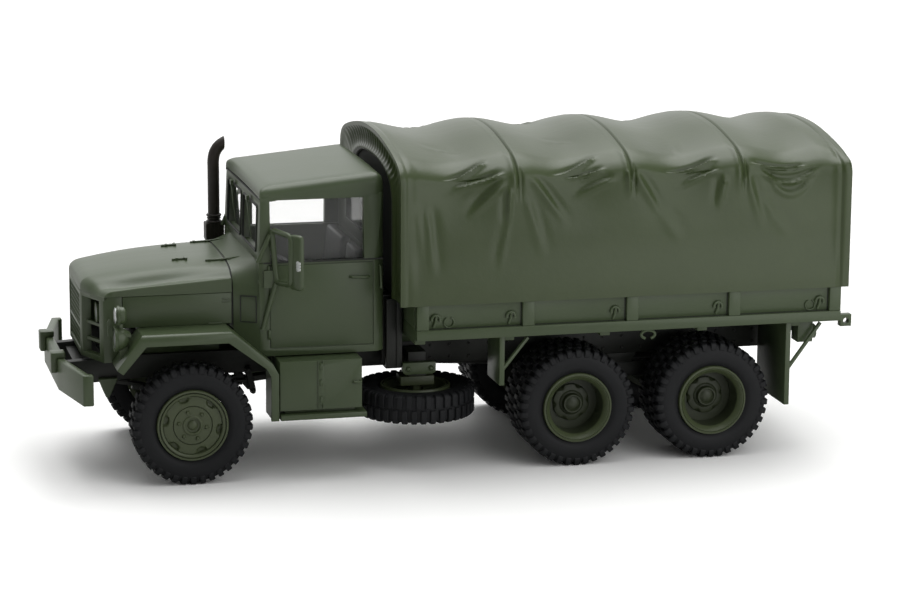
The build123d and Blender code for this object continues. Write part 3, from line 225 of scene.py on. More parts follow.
# %% Sky and paper floor
def seen_white(tree):
    """1 for camera and see-through rays, which should meet a white background."""
    path = add_node(tree, "ShaderNodeLightPath")
    return add_node(tree, "ShaderNodeMath", {"operation": "MAXIMUM"}, _0=path.outputs["Is Camera Ray"],
                    _1=path.outputs["Is Transmission Ray"]).outputs[0]


world = bpy.data.worlds.new("studio")
bpy.context.scene.world = world
tree = empty_tree(world)
direction = add_node(tree, "ShaderNodeTexCoord").outputs["Generated"]
parts = add_node(tree, "ShaderNodeSeparateXYZ", Vector=direction).outputs
light_table = (  # axis, where the light starts and is full, strength at both
    ("Z", 0.1, 0.9, 0.0, 0.22), ("Z", 0.88, 0.97, 0.0, 1.6), ("Y", -0.95, 0.0, 0.95, 0.1),
)
total = 0.0
for axis, start, full, least, most in light_table:
    layer = add_node(tree, "ShaderNodeMapRange", Value=parts[axis], From_Min=start, From_Max=full,
                     To_Min=least, To_Max=most).outputs[0]
    total = add_node(tree, "ShaderNodeMath", {"operation": "ADD"}, _0=total, _1=layer).outputs[0]
room = add_node(tree, "ShaderNodeBackground", Color=linear("#ffffff"), Strength=total)
white = add_node(tree, "ShaderNodeBackground", Color=linear("#ffffff"), Strength=1.0)
sky = add_node(tree, "ShaderNodeMixShader", _0=seen_white(tree), _1=room.outputs[0], _2=white.outputs[0])
add_node(tree, "ShaderNodeOutputWorld", Surface=sky.outputs[0])

# Matt white paper: greyer to the light it bounces than to the camera, so it doesn't glow on the model
paper = bpy.data.materials.new("white_paper_floor")
tree = empty_tree(paper)
sheet_shade = add_node(tree, "ShaderNodeBsdfDiffuse", Color=linear("#c8c8c6"))
bright_shade = add_node(tree, "ShaderNodeBsdfDiffuse", Color=(1.12, 1.12, 1.11, 1.0))
seen = add_node(tree, "ShaderNodeMixShader", _0=seen_white(tree), _1=sheet_shade.outputs[0],
                _2=bright_shade.outputs[0])
add_node(tree, "ShaderNodeOutputMaterial", Surface=seen.outputs[0])
floor_mesh = bpy.data.meshes.new("floor")
floor_reach = 4.0
floor_corners = ((-1, -1), (1, -1), (1, 1), (-1, 1))
floor_mesh.from_pydata([(x * floor_reach, y * floor_reach, 0) for x, y in floor_corners], [], [(0, 1, 2, 3)])
floor_mesh.materials.append(paper)
floor = bpy.data.objects.new("floor", floor_mesh)
bpy.context.scene.collection.objects.link(floor)
print("sky layers", len(light_table), "floor", 2 * floor_reach, "m wide")

# %% [markdown]
# Two lamps shape the model: a wide soft sun from above and behind, which draws the shadow towards the
# camera, and a disc near the tail, which lights the cover's side as a studio window would.

# %% Lamps of the studio
key = bpy.data.lights.new("key", "SUN")
key.energy = 1.3
key.angle = math.radians(50)
key_lamp = bpy.data.objects.new("key", key)
key_lamp.rotation_euler = Vector((-0.15, -0.45, 1.0)).to_track_quat("Z", "Y").to_euler()
fill = bpy.data.lights.new("fill", "AREA")
fill.energy = 0.052
fill.shape = "DISK"
fill.size = 130 * MM
fill_lamp = bpy.data.objects.new("fill", fill)
fill_lamp.location = Vector((at(-90), 95, 60)) * MM
fill_aim = Vector((at(-32), 10, 15)) * MM
fill_lamp.rotation_euler = (fill_lamp.location - fill_aim).to_track_quat("Z", "Y").to_euler()
for lamp in (key_lamp, fill_lamp):
    bpy.context.scene.collection.objects.link(lamp)
print("studio lamps", [lamp.name for lamp in (key_lamp, fill_lamp)])

# %% [markdown]
# Most pieces are built in one bmesh from a few kinds of solid: boxes, drawn outlines, bars along a path
# and turned profiles. Modifiers on stock shapes would do too, but a handful of functions keeps every
# piece to a few lines.

# %% Solids in millimetres
def box(bm, x, y, z):
    """A box between two limits on each axis, in millimetres."""
    corners = [bm.verts.new((a, b, c)) for a in sorted(x) for b in sorted(y) for c in sorted(z)]
    for loop in ((0, 1, 3, 2), (4, 6, 7, 5), (0, 4, 5, 1), (2, 3, 7, 6), (0, 2, 6, 4), (1, 5, 7, 3)):
        bm.faces.new([corners[i] for i in loop])


def prism(bm, outline, low, high, axis="y"):
    """An outline of two-dimensional points drawn out between two limits along an axis."""
    where = "xyz".index(axis)
    rings = [[bm.verts.new((*p[:where], d, *p[where:])) for p in outline] for d in (low, high)]
    ring_faces(bm, rings)
    bm.faces.new(rings[0][::-1])
    bm.faces.new(rings[1])


def ring_faces(bm, rings, closed=False):
    """Faces between rings that follow each other; closed joins the last ring to the first."""
    for a, b in zip(rings, rings[1:] + rings[:1] if closed else rings[1:]):
        count = len(a)
        for i in range(count):
            loop = list(dict.fromkeys((a[i], a[(i + 1) % count], b[(i + 1) % count], b[i])))
            if len(loop) > 2:
                bm.faces.new(loop)


def circle(bm, middle, aside, other, radius, steps):
    """A ring of new vertices about a middle, in the plane of two directions."""
    turns = [2 * math.pi * k / steps for k in range(steps)]
    return [bm.verts.new(middle + (aside * math.cos(a) + other * math.sin(a)) * radius) for a in turns]


def tube(bm, path, radius, sides=10):
    """A round bar along a path of points, with mitred bends and flat ends."""
    points = [Vector(p) for p in path]
    rings = []
    aside = (points[1] - points[0]).orthogonal().normalized()
    for i, point in enumerate(points):
        run = (points[min(i + 1, len(points) - 1)] - points[max(i - 1, 0)]).normalized()
        aside = (aside - run * aside.dot(run)).normalized()
        rings.append(circle(bm, point, aside, run.cross(aside), radius, sides))
    ring_faces(bm, rings)
    bm.faces.new(rings[0][::-1])
    bm.faces.new(rings[-1])


def turned(bm, profile, centre, axis=(0, 1, 0), steps=48, closed=True):
    """A profile of (radius, distance along the axis) turned about an axis through a centre."""
    onward = Vector(axis).normalized()
    aside = onward.orthogonal().normalized()
    rings = []
    for radius, shift in profile:
        middle = Vector(centre) + onward * shift
        if radius == 0:
            rings.append([bm.verts.new(middle)] * steps)
        else:
            rings.append(circle(bm, middle, aside, onward.cross(aside), radius, steps))
    ring_faces(bm, rings, closed)


def block(bm, side, stations, out, heights):
    """A box on one side of the truck, from limits of station, distance out from the middle and height."""
    box(bm, [at(s) for s in stations], [side * y for y in out], heights)


def plate(bm, side, outline, out):
    """An upright plate on one side, from an outline of (station, height) and two distances out."""
    prism(bm, [(at(s), z) for s, z in outline], side * out[0], side * out[1])


def rod(bm, side, points, radius, sides=8):
    """A round bar on one side through points of (station, distance out, height)."""
    tube(bm, [(at(s), side * y, z) for s, y, z in points], radius, sides)


sample = bmesh.new()
tube(sample, [(0, 0, 0), (0, 0, 1)], 0.1, 8)
print("a plain bar has", len(sample.faces), "faces")
sample.free()

# %% [markdown]
# A finished piece gets a bevel on every sharp edge, because a moulded edge is never quite sharp and its
# thin highlight is what makes plastic look like plastic. Modifiers are turned into plain meshes before
# the piece is tied to its body.

# %% Finished pieces
def link_mesh(name, bm):
    """A linked object with the bmesh as its mesh; the bmesh is freed."""
    mesh = bpy.data.meshes.new(name)
    bm.to_mesh(mesh)
    bm.free()
    obj = bpy.data.objects.new(name, mesh)
    bpy.context.scene.collection.objects.link(obj)
    return obj


def plain_mesh(obj):
    """The object's evaluated mesh as a plain one, with the object's modifiers removed."""
    bpy.context.view_layer.update()
    evaluated = obj.evaluated_get(bpy.context.evaluated_depsgraph_get())
    mesh = bpy.data.meshes.new_from_object(evaluated)
    obj.modifiers.clear()
    return mesh


def smooth_by_angle(mesh, degrees):
    """Smooth faces, with edges sharper than an angle kept sharp."""
    mesh.polygons.foreach_set("use_smooth", [True] * len(mesh.polygons))
    mesh.set_sharp_from_angle(angle=math.radians(degrees))


def piece(name, bm, slot, body="chassis", replaces=(), edge=0.0, segments=2, finish=None, crease=35):
    """Make a bmesh in millimetres a finished piece: outward faces, soft edges, its finish and its body; the
    slot picks the finish when none is given.
    """
    bmesh.ops.scale(bm, vec=(MM,) * 3, verts=bm.verts)
    bmesh.ops.recalc_face_normals(bm, faces=bm.faces)
    obj = link_mesh(name, bm)
    obj.data.materials.clear()
    obj.data.materials.append(finish or FINISH[slot])
    if edge:
        bevel = obj.modifiers.new("soft_edge", "BEVEL")
        bevel.width = edge * MM
        bevel.segments = segments
        bevel.limit_method = "ANGLE"
        bevel.angle_limit = math.radians(crease)
        bevel.use_clamp_overlap = True
        obj.data = plain_mesh(obj)
    smooth_by_angle(obj.data, crease)
    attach(obj, body)
    if replaces:
        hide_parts(*replaces)
    return obj


def second_finish(obj, finish, chosen):
    """Give the faces whose middle is chosen another finish."""
    obj.data.materials.append(finish)
    for face in obj.data.polygons:
        if chosen(face.center / MM):
            face.material_index = 1


def solid_copy(node):
    """A bmesh in millimetres with a copy of a node, its loose triangles merged back into flat faces."""
    bm = bmesh.new()
    bm.from_mesh(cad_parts[node].data)
    bmesh.ops.remove_doubles(bm, verts=bm.verts, dist=1e-7)
    bmesh.ops.dissolve_limit(bm, angle_limit=math.radians(0.5), verts=bm.verts, edges=bm.edges)
    bmesh.ops.scale(bm, vec=(1 / MM,) * 3, verts=bm.verts)
    return bm


sample = solid_copy("front_bumper")
print("the bumper's solid has", len(sample.faces), "flat faces")
sample.free()

# %% [markdown]
# The plain mouldings keep their solid's form exactly. Each is copied, its triangles merged into flat
# faces, and its edges rounded by a few hundredths of a millimetre.

# %% Mouldings with softened edges
soft_table = (  # node, slot, edge rounding
    ("front_bumper", "body_olive", 0.14), ("bumper_straps", "body_olive", 0.12),
    ("frame", "chassis_dark_olive", 0.05), ("front_springs", "chassis_dark_olive", 0.04),
    ("bogie_springs", "chassis_dark_olive", 0.05), ("engine_and_gearbox", "chassis_dark_olive", 0.12),
    ("transfer_case", "chassis_dark_olive", 0.12), ("hood_side_panels", "body_olive", 0.06),
    ("seats", "interior_grey", 0.25), ("dashboard", "interior_grey", 0.15),
    ("left_tool_box", "body_olive", 0.06), ("right_battery_box", "body_olive", 0.06),
    ("fuel_tank", "body_olive", 0.12),
    ("bed_floor", "body_olive", 0.06), ("left_bed_side", "body_olive", 0.06),
    ("right_bed_side", "body_olive", 0.06), ("headboard", "body_olive", 0.06),
    ("tailgate", "body_olive", 0.06), ("mud_flaps", "body_olive", 0.06), ("tail_lamps", "body_olive", 0.06),
    ("grille", "body_olive", 0.05), ("front_axle", "chassis_dark_olive", 0.06),
    ("middle_axle", "chassis_dark_olive", 0.06), ("rear_axle", "chassis_dark_olive", 0.06),
    ("propeller_shafts", "chassis_dark_olive", 0.05), ("pintle_hook", "chassis_dark_olive", 0.06),
    ("steering_wheel", "interior_grey", 0.08),
)
for node, slot, edge in soft_table:
    piece("soft_" + node, solid_copy(node), slot, replaces=(node,), edge=edge)
# The spare wheel's carrier takes the chassis's dark olive with its painted shade, and the rims' olive below
# its foot
carrier = piece("soft_spare_carrier", solid_copy("spare_carrier"), "body_olive", replaces=("spare_carrier",),
                edge=0.08, finish=chassis_olive_and_painted_shade)
carrier_foot = 9.1
second_finish(carrier, rim_olive, lambda middle: middle.z < carrier_foot)
print("softened mouldings", len(soft_table) + 1)

# %% [markdown]
# Things that stand in a ring, such as tread lugs and wheel nuts, could be copied by a loop. One Geometry
# Nodes tree does it with a few sizes to set: it takes the mesh of one of them, turns copies about the
# wheel's axle and moves the ring to the wheel's middle.

# %% A ring of copies by Geometry Nodes
def new_tree(name, **inputs):
    """Geometry Nodes tree with a geometry, named inputs and a finish, and the sockets that give them."""
    tree = bpy.data.node_groups.new(name, "GeometryNodeTree")
    for label, kind in {"Geometry": "Geometry", **inputs, "Finish": "Material"}.items():
        tree.interface.new_socket(label.replace("_", " "), in_out="INPUT", socket_type="NodeSocket" + kind)
    tree.interface.new_socket("Geometry", in_out="OUTPUT", socket_type="NodeSocketGeometry")
    return tree, add_node(tree, "NodeGroupInput").outputs


def end_tree(tree, given, copies, shift):
    """End a tree: copies made real, moved and given their finish."""
    real = add_node(tree, "GeometryNodeRealizeInstances", Geometry=copies.outputs[0])
    moved = add_node(tree, "GeometryNodeTransform", Geometry=real.outputs[0], Translation=shift)
    painted = add_node(tree, "GeometryNodeSetMaterial", Geometry=moved.outputs[0], Material=given["Finish"])
    add_node(tree, "NodeGroupOutput", Geometry=painted.outputs[0])


def ring_tree():
    """Node tree that repeats its geometry in a ring about the Y axis and moves the ring to a centre."""
    tree, given = new_tree("ring_of_copies", Count="Int", Phase="Float", Centre="Vector")
    points = add_node(tree, "GeometryNodePoints", Count=given["Count"])
    index = add_node(tree, "GeometryNodeInputIndex")
    step = add_node(tree, "ShaderNodeMath", {"operation": "DIVIDE"}, _0=2 * math.pi, _1=given["Count"])
    turn = add_node(tree, "ShaderNodeMath", {"operation": "MULTIPLY_ADD"}, _0=index.outputs[0],
                    _1=step.outputs[0], _2=given["Phase"])
    euler = add_node(tree, "ShaderNodeCombineXYZ", Y=turn.outputs[0])
    rotation = add_node(tree, "FunctionNodeEulerToRotation", Euler=euler.outputs[0])
    copies = add_node(tree, "GeometryNodeInstanceOnPoints", Points=points.outputs[0],
                      Instance=given["Geometry"], Rotation=rotation.outputs[0])
    end_tree(tree, given, copies, given["Centre"])
    return tree


def repeat(tree, one, **inputs):
    """Run a tree on the mesh of one thing, in millimetres, and return the repeated mesh."""
    holder = link_mesh("one", one)
    modifier = holder.modifiers.new("repeat", "NODES")
    modifier.node_group = tree
    for item in tree.interface.items_tree:
        label = item.name.replace(" ", "_")
        if item.in_out == "INPUT" and label in inputs:
            modifier[item.identifier] = inputs[label]
    result = plain_mesh(holder)
    bpy.data.objects.remove(holder)
    return result


RING = ring_tree()
print("ring tree inputs", [item.name for item in RING.interface.items_tree if item.in_out == "INPUT"])

# %% [markdown]
# A tyre is a turned carcass with two staggered rows of lugs. A bump map would leave the outline round, so
# the lugs are solid: one is drawn in the plane of the axle, from the sidewall over the shoulder to the
# middle of the tread, and repeated; the other row is its mirror image.

# %% Tyres
tyre_radius = (tyre_high.z - tyre_low.z) / 2 / MM
tyre_half = (tyre_high.y - tyre_low.y) / 2 / MM
rim_low, rim_high = limits("front_left_rim")
rim_radius = (rim_high.z - rim_low.z) / 2
lug_count, lug_width = 38, 0.54
tread_root, lug_foot = tyre_radius - 0.24, tyre_radius - 0.8
lug_top = math.sqrt(tyre_radius ** 2 - (lug_width / 2) ** 2)
bead = rim_radius + 0.03
half_carcass = (  # radius, distance from the tyre's middle
    (bead, tyre_half - 0.35), (bead + 0.14, tyre_half - 0.32), (bead + 0.3, tyre_half - 0.16),
    (bead + 0.6, tyre_half - 0.05), (bead + 1.1, tyre_half - 0.01), (lug_foot, tyre_half - 0.06),
    (lug_foot + 0.22, tyre_half - 0.15), (tread_root - 0.06, tyre_half - 0.28),
    (tread_root, tyre_half - 0.42),
)
carcass = list(half_carcass) + [(r, -d) for r, d in half_carcass[::-1]]
half_lug = (  # distance from the tyre's middle, radius
    (tyre_half - 0.03, lug_foot), (tyre_half, lug_foot + 0.2), (tyre_half - 0.03, tyre_radius - 0.22),
    (tyre_half - 0.16, tyre_radius - 0.05), (tyre_half - 0.3, lug_top), (0.12, lug_top),
    (0.04, tread_root - 0.1), (tyre_half - 0.4, lug_foot - 0.1),
)


def move(bm, vec):
    """Move a whole bmesh."""
    bmesh.ops.translate(bm, verts=bm.verts, vec=vec)


def lay_flat(bm):
    """Turn a whole bmesh so that what stood along Y points up."""
    bmesh.ops.rotate(bm, verts=bm.verts, matrix=Matrix.Rotation(math.pi / 2, 3, "X"))


def join_meshes(bm, other):
    """Add another bmesh to a bmesh and free it."""
    mesh = bpy.data.meshes.new("joined")
    other.to_mesh(mesh)
    other.free()
    bm.from_mesh(mesh)


def add_tyre(bm, centre, flat=False):
    """Add one tyre in millimetres, its axle along Y, or upright if the tyre lies flat."""
    whole = bmesh.new()
    turned(whole, carcass, (0, 0, 0), steps=80)
    for side, _ in SIDES:
        one = bmesh.new()
        prism(one, [(side * d, r) for d, r in half_lug], -lug_width / 2, lug_width / 2, "x")
        bmesh.ops.recalc_face_normals(one, faces=one.faces)
        phase = math.pi / lug_count if side < 0 else 0.0
        whole.from_mesh(repeat(RING, one, Count=lug_count, Phase=phase, Centre=(0, 0, 0), Finish=tyre_black))
    if flat:
        lay_flat(whole)
    move(whole, centre)
    join_meshes(bm, whole)


dual_low, dual_high = limits("rear_left_tyre")
dual_shift = (dual_high.y - dual_low.y) / 2 - tyre_half
twin = (-dual_shift, dual_shift)
for axle, shifts in (("front", (0.0,)), ("middle", twin), ("rear", twin)):
    for _, side_name in SIDES:
        node = f"{axle}_{side_name}_tyre"
        bm = bmesh.new()
        for shift in shifts:
            add_tyre(bm, middle_of(node) + Vector((0, shift, 0)))
        piece(f"lugged_{node}", bm, "tyre_black", f"{axle}_{side_name}_wheel", (node,), edge=0.05, segments=1)
bm = bmesh.new()
add_tyre(bm, middle_of("spare_tyre"), flat=True)
piece("lugged_spare_tyre", bm, "tyre_black", "chassis", ("spare_tyre",), edge=0.05, segments=1)
print("tyre radius", round(tyre_radius, 2), "mm,", lug_count, "lugs a row")

# %% [markdown]
# The front wheel's disc has six half-moon hand holes, and the twin wheels are deep dishes with a lobed
# flange and a hub cap. Cutting the holes would leave hard edges, so both rims are turned profiles whose
# points are pressed in where a hole or a lobe is. First come the profiles.

# %% Profiles of the rims
front_holes, hole_ring, hole_half_length, hole_depth, hole_height = 6, 2.84, 0.55, 0.3, 0.52
hole_phase, hole_steepness = 0.3, 4
front_face = [  # radius, distance out from the lip's plane
    (rim_radius, -0.4), (rim_radius, -0.08), (rim_radius - 0.05, 0.0), (rim_radius - 0.2, 0.0),
    (rim_radius - 0.25, -0.2), (rim_radius - 0.3, -0.2), (rim_radius - 0.35, -0.01),
    (rim_radius - 0.5, -0.03), (rim_radius - 0.58, -0.1), (rim_radius - 0.62, -0.36), (hole_ring, -0.36),
]
front_face += [(hole_ring - 0.02 - 0.06 * i, -0.27 + 0.004 * i) for i in range(10)]
front_face += [(1.95, -0.22), (1.92, -0.36), (1.86, -0.36), (1.83, -0.22), (1.0, -0.21), (0.94, -0.12),
               (0.86, -0.09), (0.76, -0.12), (0.72, -0.34), (0.5, -0.36), (0.42, -0.27), (0.24, -0.2),
               (0.0, -0.18)]
lobe_count, lobe_radius, lobe_cut, lobe_phase = 6, 1.85, 0.28, 0.6
dish_depth, cap_face = 2.7, 1.75
rear_face = [
    (rim_radius, -0.4), (rim_radius, -0.08), (rim_radius - 0.05, 0.0), (rim_radius - 0.17, 0.0),
    (rim_radius - 0.22, -0.1), (rim_radius - 0.27, -0.1), (rim_radius - 0.32, -0.04),
    (rim_radius - 0.72, -0.42),
    (rim_radius - 0.75, -0.6), (rim_radius - 0.78, -dish_depth), (lobe_radius + 0.02, -dish_depth),
    (lobe_radius, -dish_depth + 0.28), (lobe_radius - 0.12, -dish_depth + 0.34), (1.25, -dish_depth + 0.34),
    (1.15, -dish_depth + 0.45), (1.02, -dish_depth + 0.5), (0.96, -cap_face - 0.1), (0.9, -cap_face),
    (0.78, -cap_face), (0.7, -cap_face - 0.14), (0.64, -cap_face - 0.12), (0.5, -cap_face + 0.02),
    (0.28, -cap_face + 0.08), (0.0, -cap_face + 0.1),
]
rim_wall, hub_radius, bore_radius, disc_thickness = 0.5, 1.15, 0.75, 0.5
pressed_depth, lobe_band = 0.4, (lobe_radius - 0.14, lobe_radius + 0.01)


def rim_back(depth, width, blind):
    """The rest of a rim's profile, from the middle of its bore round the hollow behind the disc."""
    back = -depth - disc_thickness
    inside = rim_radius - rim_wall
    return [(0.0, -blind), (bore_radius, -blind), (bore_radius, -width), (hub_radius, -width),
            (hub_radius, back), (inside, back), (inside, -width), (rim_radius, -width)]


print("profile points", len(front_face), "front,", len(rear_face), "rear")

# %% [markdown]
# A rim is made by turning its profile and then moving points: back into the disc for a hand hole, or
# inward for the gaps between lobes. The nuts come from the ring tree.

# %% Rims
def hand_hole(radius, angle):
    """How far the front disc is pressed in at a radius and an angle: half-moons against the disc's edge."""
    pitch = 2 * math.pi / front_holes
    aside = ((angle + pitch * hole_phase) % pitch - pitch / 2) * radius / hole_half_length
    inward = (hole_ring - radius) / hole_height
    if radius > hole_ring or radius < hole_ring - hole_height:
        return 0.0
    inside = 1 - aside * aside - inward * inward
    return hole_depth * min(1.0, max(0.0, inside * hole_steepness))


def add_rim(bm, profile, lip, axis, relief=None, lobes=False, steps=96):
    """Add a turned rim to an empty bmesh, its lip at a point on its axis, its face pressed or lobed."""
    turned(bm, profile, (0, 0, 0), (0, 1, 0), steps)
    for vertex in bm.verts:
        radius = math.hypot(vertex.co.x, vertex.co.z)
        angle = math.atan2(vertex.co.z, vertex.co.x)
        if relief and vertex.co.y > -pressed_depth:
            vertex.co.y -= relief(radius, angle)
        if lobes and lobe_band[0] < radius < lobe_band[1] and vertex.co.y < -cap_face:
            wave = max(0.0, math.cos(lobe_count * angle + lobe_phase)) ** 2
            vertex.co.x *= 1 - lobe_cut * wave / radius
            vertex.co.z *= 1 - lobe_cut * wave / radius
    turn = Vector((0, 1, 0)).rotation_difference(Vector(axis)).to_matrix()
    bmesh.ops.rotate(bm, verts=bm.verts, matrix=turn)
    move(bm, lip)


nut_ring, nut_radius, nut_height, nut_sink, nut_phase = 1.36, 0.2, 0.17, 0.21, 0.35
nut = [(nut_radius, -nut_height), (nut_radius, nut_height * 0.4), (nut_radius * 0.6, nut_height),
       (0.0, nut_height * 1.1)]
front_depth, blind_beyond, dish_edge = 0.28, 0.45, 0.6
for axle, face, depth, relief, lobes in (
        ("front", front_face, front_depth, hand_hole, False), ("middle", rear_face, dish_depth, None, True),
        ("rear", rear_face, dish_depth, None, True)):
    for side, side_name in SIDES:
        node = f"{axle}_{side_name}_rim"
        low, high = limits(node)
        width = high.y - low.y
        lip = middle_of(node) + Vector((0, side * width / 2, 0))
        bm = bmesh.new()
        add_rim(bm, face + rim_back(depth, width, depth + blind_beyond), lip, (0, side, 0), relief, lobes)
        if not lobes:
            one = bmesh.new()
            turned(one, nut, (0, 0, nut_ring), (0, side, 0), 8, closed=False)
            nut_middle = lip - Vector((0, side * nut_sink, 0))
            bm.from_mesh(repeat(RING, one, Count=6, Phase=nut_phase, Centre=nut_middle, Finish=rim_olive))
        rim = piece(f"turned_{node}", bm, "rim_olive", f"{axle}_{side_name}_wheel", (node,), crease=40)
        if lobes:
            # Painted shade: the twin wheels' dishes take the darker olive from a little inside the lip
            painted_shade_limit = abs(lip.y) - dish_edge
            second_finish(rim, rim_painted_shade, lambda middle: abs(middle.y) < painted_shade_limit)
low, high = limits("spare_rim")
spare_front, spare_behind, spare_width = 0.9, 1.4, high.z - low.z
spare_inside = rim_radius - rim_wall
spare_back = [(0.0, -spare_behind), (spare_inside, -spare_behind), (spare_inside, -spare_width),
              (rim_radius, -spare_width)]
spare_face = front_face[:10] + [(2.7, -spare_front), (1.2, -spare_front), (0.0, -spare_front)]
bm = bmesh.new()
add_rim(bm, spare_face + spare_back, middle_of("spare_rim") + Vector((0, 0, spare_width / 2)), (0, 0, 1))
piece("turned_spare_rim", bm, "rim_olive", "chassis", ("spare_rim",), crease=40)
print("rims", 7, "of radius", round(rim_radius, 2), "mm")

# %% [markdown]
# The cover is one rigid moulding that copies canvas stretched over five bows. Cloth simulation could
# drape it, but would never give the same folds twice. It is a single grid over stations and the arc
# length of the hooped section, and the bonnet, cowl and roof are grids too, so the helpers for curves and
# grids come first.

# %% Curves and grids
def curve_through(points, per_span=16):
    """Smooth curve through points, as an array; each span is a Catmull-Rom cubic."""
    p = np.array(points, float)
    p = np.vstack((2 * p[0] - p[1], p, 2 * p[-1] - p[-2]))
    t = np.linspace(0, 1, per_span, endpoint=False)[:, None]
    spans = []
    for a, b, c, d in zip(p, p[1:], p[2:], p[3:]):
        square, cube = 2 * a - 5 * b + 4 * c - d, 3 * b - a - 3 * c + d
        spans.append(0.5 * (2 * b + (c - a) * t + square * t ** 2 + cube * t ** 3))
    return np.vstack(spans + [p[-2:-1]])


def along(curve, distance):
    """Points of a curve at distances measured along it, and the curve's length."""
    run = np.concatenate(([0], np.cumsum(np.linalg.norm(np.diff(curve, axis=0), axis=1))))
    return np.stack([np.interp(distance, run, curve[:, k]) for k in range(curve.shape[1])], axis=-1), run[-1]


def ramp(value, low, high):
    """0 below low, 1 above high and a smooth step between."""
    t = np.clip((value - low) / (high - low), 0, 1)
    return t * t * (3 - 2 * t)


def hill(value, middle, width):
    """Soft hill of height 1."""
    return np.exp(-((value - middle) / width) ** 2)


def cross_row(station, yz):
    """A row of points across the truck at a station, or at a station for each point."""
    return np.column_stack((np.zeros(len(yz)) + at(station), yz))


def both_sides(half_rows):
    """Rows that run from one side over the middle to the other, from rows of the left half."""
    half_rows = np.array(half_rows)
    return np.concatenate((half_rows[:, :0:-1] * np.array((1, -1, 1)), half_rows), axis=1)


def add_shell(whole, half_rows, wall):
    """Add a sheet over rows of points of the left half and their mirror image, thickened inward."""
    sheet = bmesh.new()
    verts = [[sheet.verts.new(p) for p in row] for row in both_sides(half_rows)]
    for upper, lower in zip(verts, verts[1:]):
        for corners in zip(upper, upper[1:], lower[1:], lower):
            sheet.faces.new(corners)
    holder = link_mesh("sheet", sheet)
    solid = holder.modifiers.new("wall", "SOLIDIFY")
    solid.thickness = wall
    solid.offset = -1.0
    whole.from_mesh(plain_mesh(holder))
    bpy.data.objects.remove(holder)


quarter = curve_through([(math.cos(a), math.sin(a)) for a in np.linspace(0, math.pi / 2, 5)])
print("a quarter turn measures", round(along(quarter, [0.0])[1], 3), "for a radius of 1")

# %% [markdown]
# The canvas hangs from its bows: it sags in each bay, is gathered into folds that fan out from the bows,
# and hangs in festoons at the tail. Each fold is a line on the unrolled section with a height and a
# width, so a table lists them as a sculptor would draw them.

# %% The cover's section and its folds
cover_low, cover_high = limits("cover")
cover_half, cover_top, cover_hem = cover_high.y, cover_high.z, cover_low.z
cover_front, cover_rear = cover_high.x - axle_x, cover_low.x - axle_x
bows = [cover_front + (cover_rear - cover_front) * k / 4 for k in range(5)]
arch_table = (  # share of the half width, fall below the crown
    (0.0, 0.0), (0.16, 0.06), (0.33, 0.26), (0.5, 0.62), (0.66, 1.05), (0.8, 1.52), (0.89, 1.95),
    (0.95, 2.45), (0.985, 3.05), (0.998, 3.8), (1.0, 4.6),
)
section = np.vstack((curve_through([(cover_half * share, cover_top - fall) for share, fall in arch_table]),
                     [(cover_half, cover_hem)]))
section[:, 0] = np.minimum(section[:, 0], cover_half)
_, section_length = along(section, [0.0])
section_run = np.linspace(0, section_length, 900)
section_heights = along(section, section_run)[0][:, 1]


def run_at(z):
    """Arc length from the crown at which the section has a height."""
    return np.interp(-np.asarray(z), -section_heights, section_run)


shoulder = run_at(cover_top - 3.1)
fold_table = (  # bow, then station from the bow and height at each end, rise of the ridge, width of the ridge
    (1, 2.3, 30.9, 6.9, 29.2, 0.42, 0.24), (1, 0.9, 29.9, 7.0, 27.6, 0.42, 0.28),
    (1, 1.0, 28.9, 4.7, 25.4, 0.36, 0.32), (1, 0.6, 28.5, 0.7, 24.0, 0.26, 0.26),
    (1, 0.7, 24.6, 1.7, 20.4, 0.14, 0.28), (1, -1.4, 29.4, -5.3, 24.2, 0.27, 0.32),
    (1, -1.0, 27.4, -2.9, 21.2, 0.15, 0.4), (2, 2.6, 31.0, 7.6, 29.5, 0.4, 0.24),
    (2, 2.2, 30.2, 6.6, 28.5, 0.36, 0.24), (2, 1.3, 28.9, 5.8, 26.8, 0.34, 0.3),
    (2, -0.3, 29.6, -3.5, 24.6, 0.24, 0.34), (2, -3.2, 25.4, -5.5, 22.2, 0.11, 0.45),
    (2, 0.2, 29.8, -0.1, 26.8, 0.24, 0.24), (3, 2.0, 30.6, 7.6, 29.0, 0.42, 0.26),
    (3, 2.1, 29.5, 6.7, 27.2, 0.38, 0.26), (3, 1.6, 28.9, 2.3, 25.2, 0.28, 0.28),
    (3, -0.5, 29.0, -2.3, 23.4, 0.2, 0.34), (3, -1.8, 26.8, -5.4, 22.0, 0.11, 0.45),
    (0, -1.7, 27.2, -2.2, 21.2, 0.15, 0.3), (0, -2.5, 27.0, -3.3, 19.8, 0.2, 0.36),
    (1, 4.2, 31.6, 8.5, 32.1, 0.1, 0.3), (2, 3.6, 31.9, 7.2, 32.2, 0.1, 0.3),
    (3, 5.6, 31.2, 4.9, 32.0, 0.08, 0.3),
)
festoon_table = (  # stations of both ends, height of the ends, dip in the middle, rise, width
    (-55.2, -61.2, 30.0, 0.45, 0.36, 0.24), (-56.0, -62.6, 29.2, 1.6, 0.38, 0.26),
    (-57.0, -62.0, 28.5, 2.0, 0.24, 0.32),
)
print("cover section", round(float(section_length), 1), "mm from crown to hem,", len(fold_table), "folds")

# %% [markdown]
# One formula adds up everything that moves the canvas in from its hoops: the sag of each bay, the flat
# sides, the seams on the bows, the folds with a furrow beneath each, and the piped edges. It works on
# whole arrays at once.

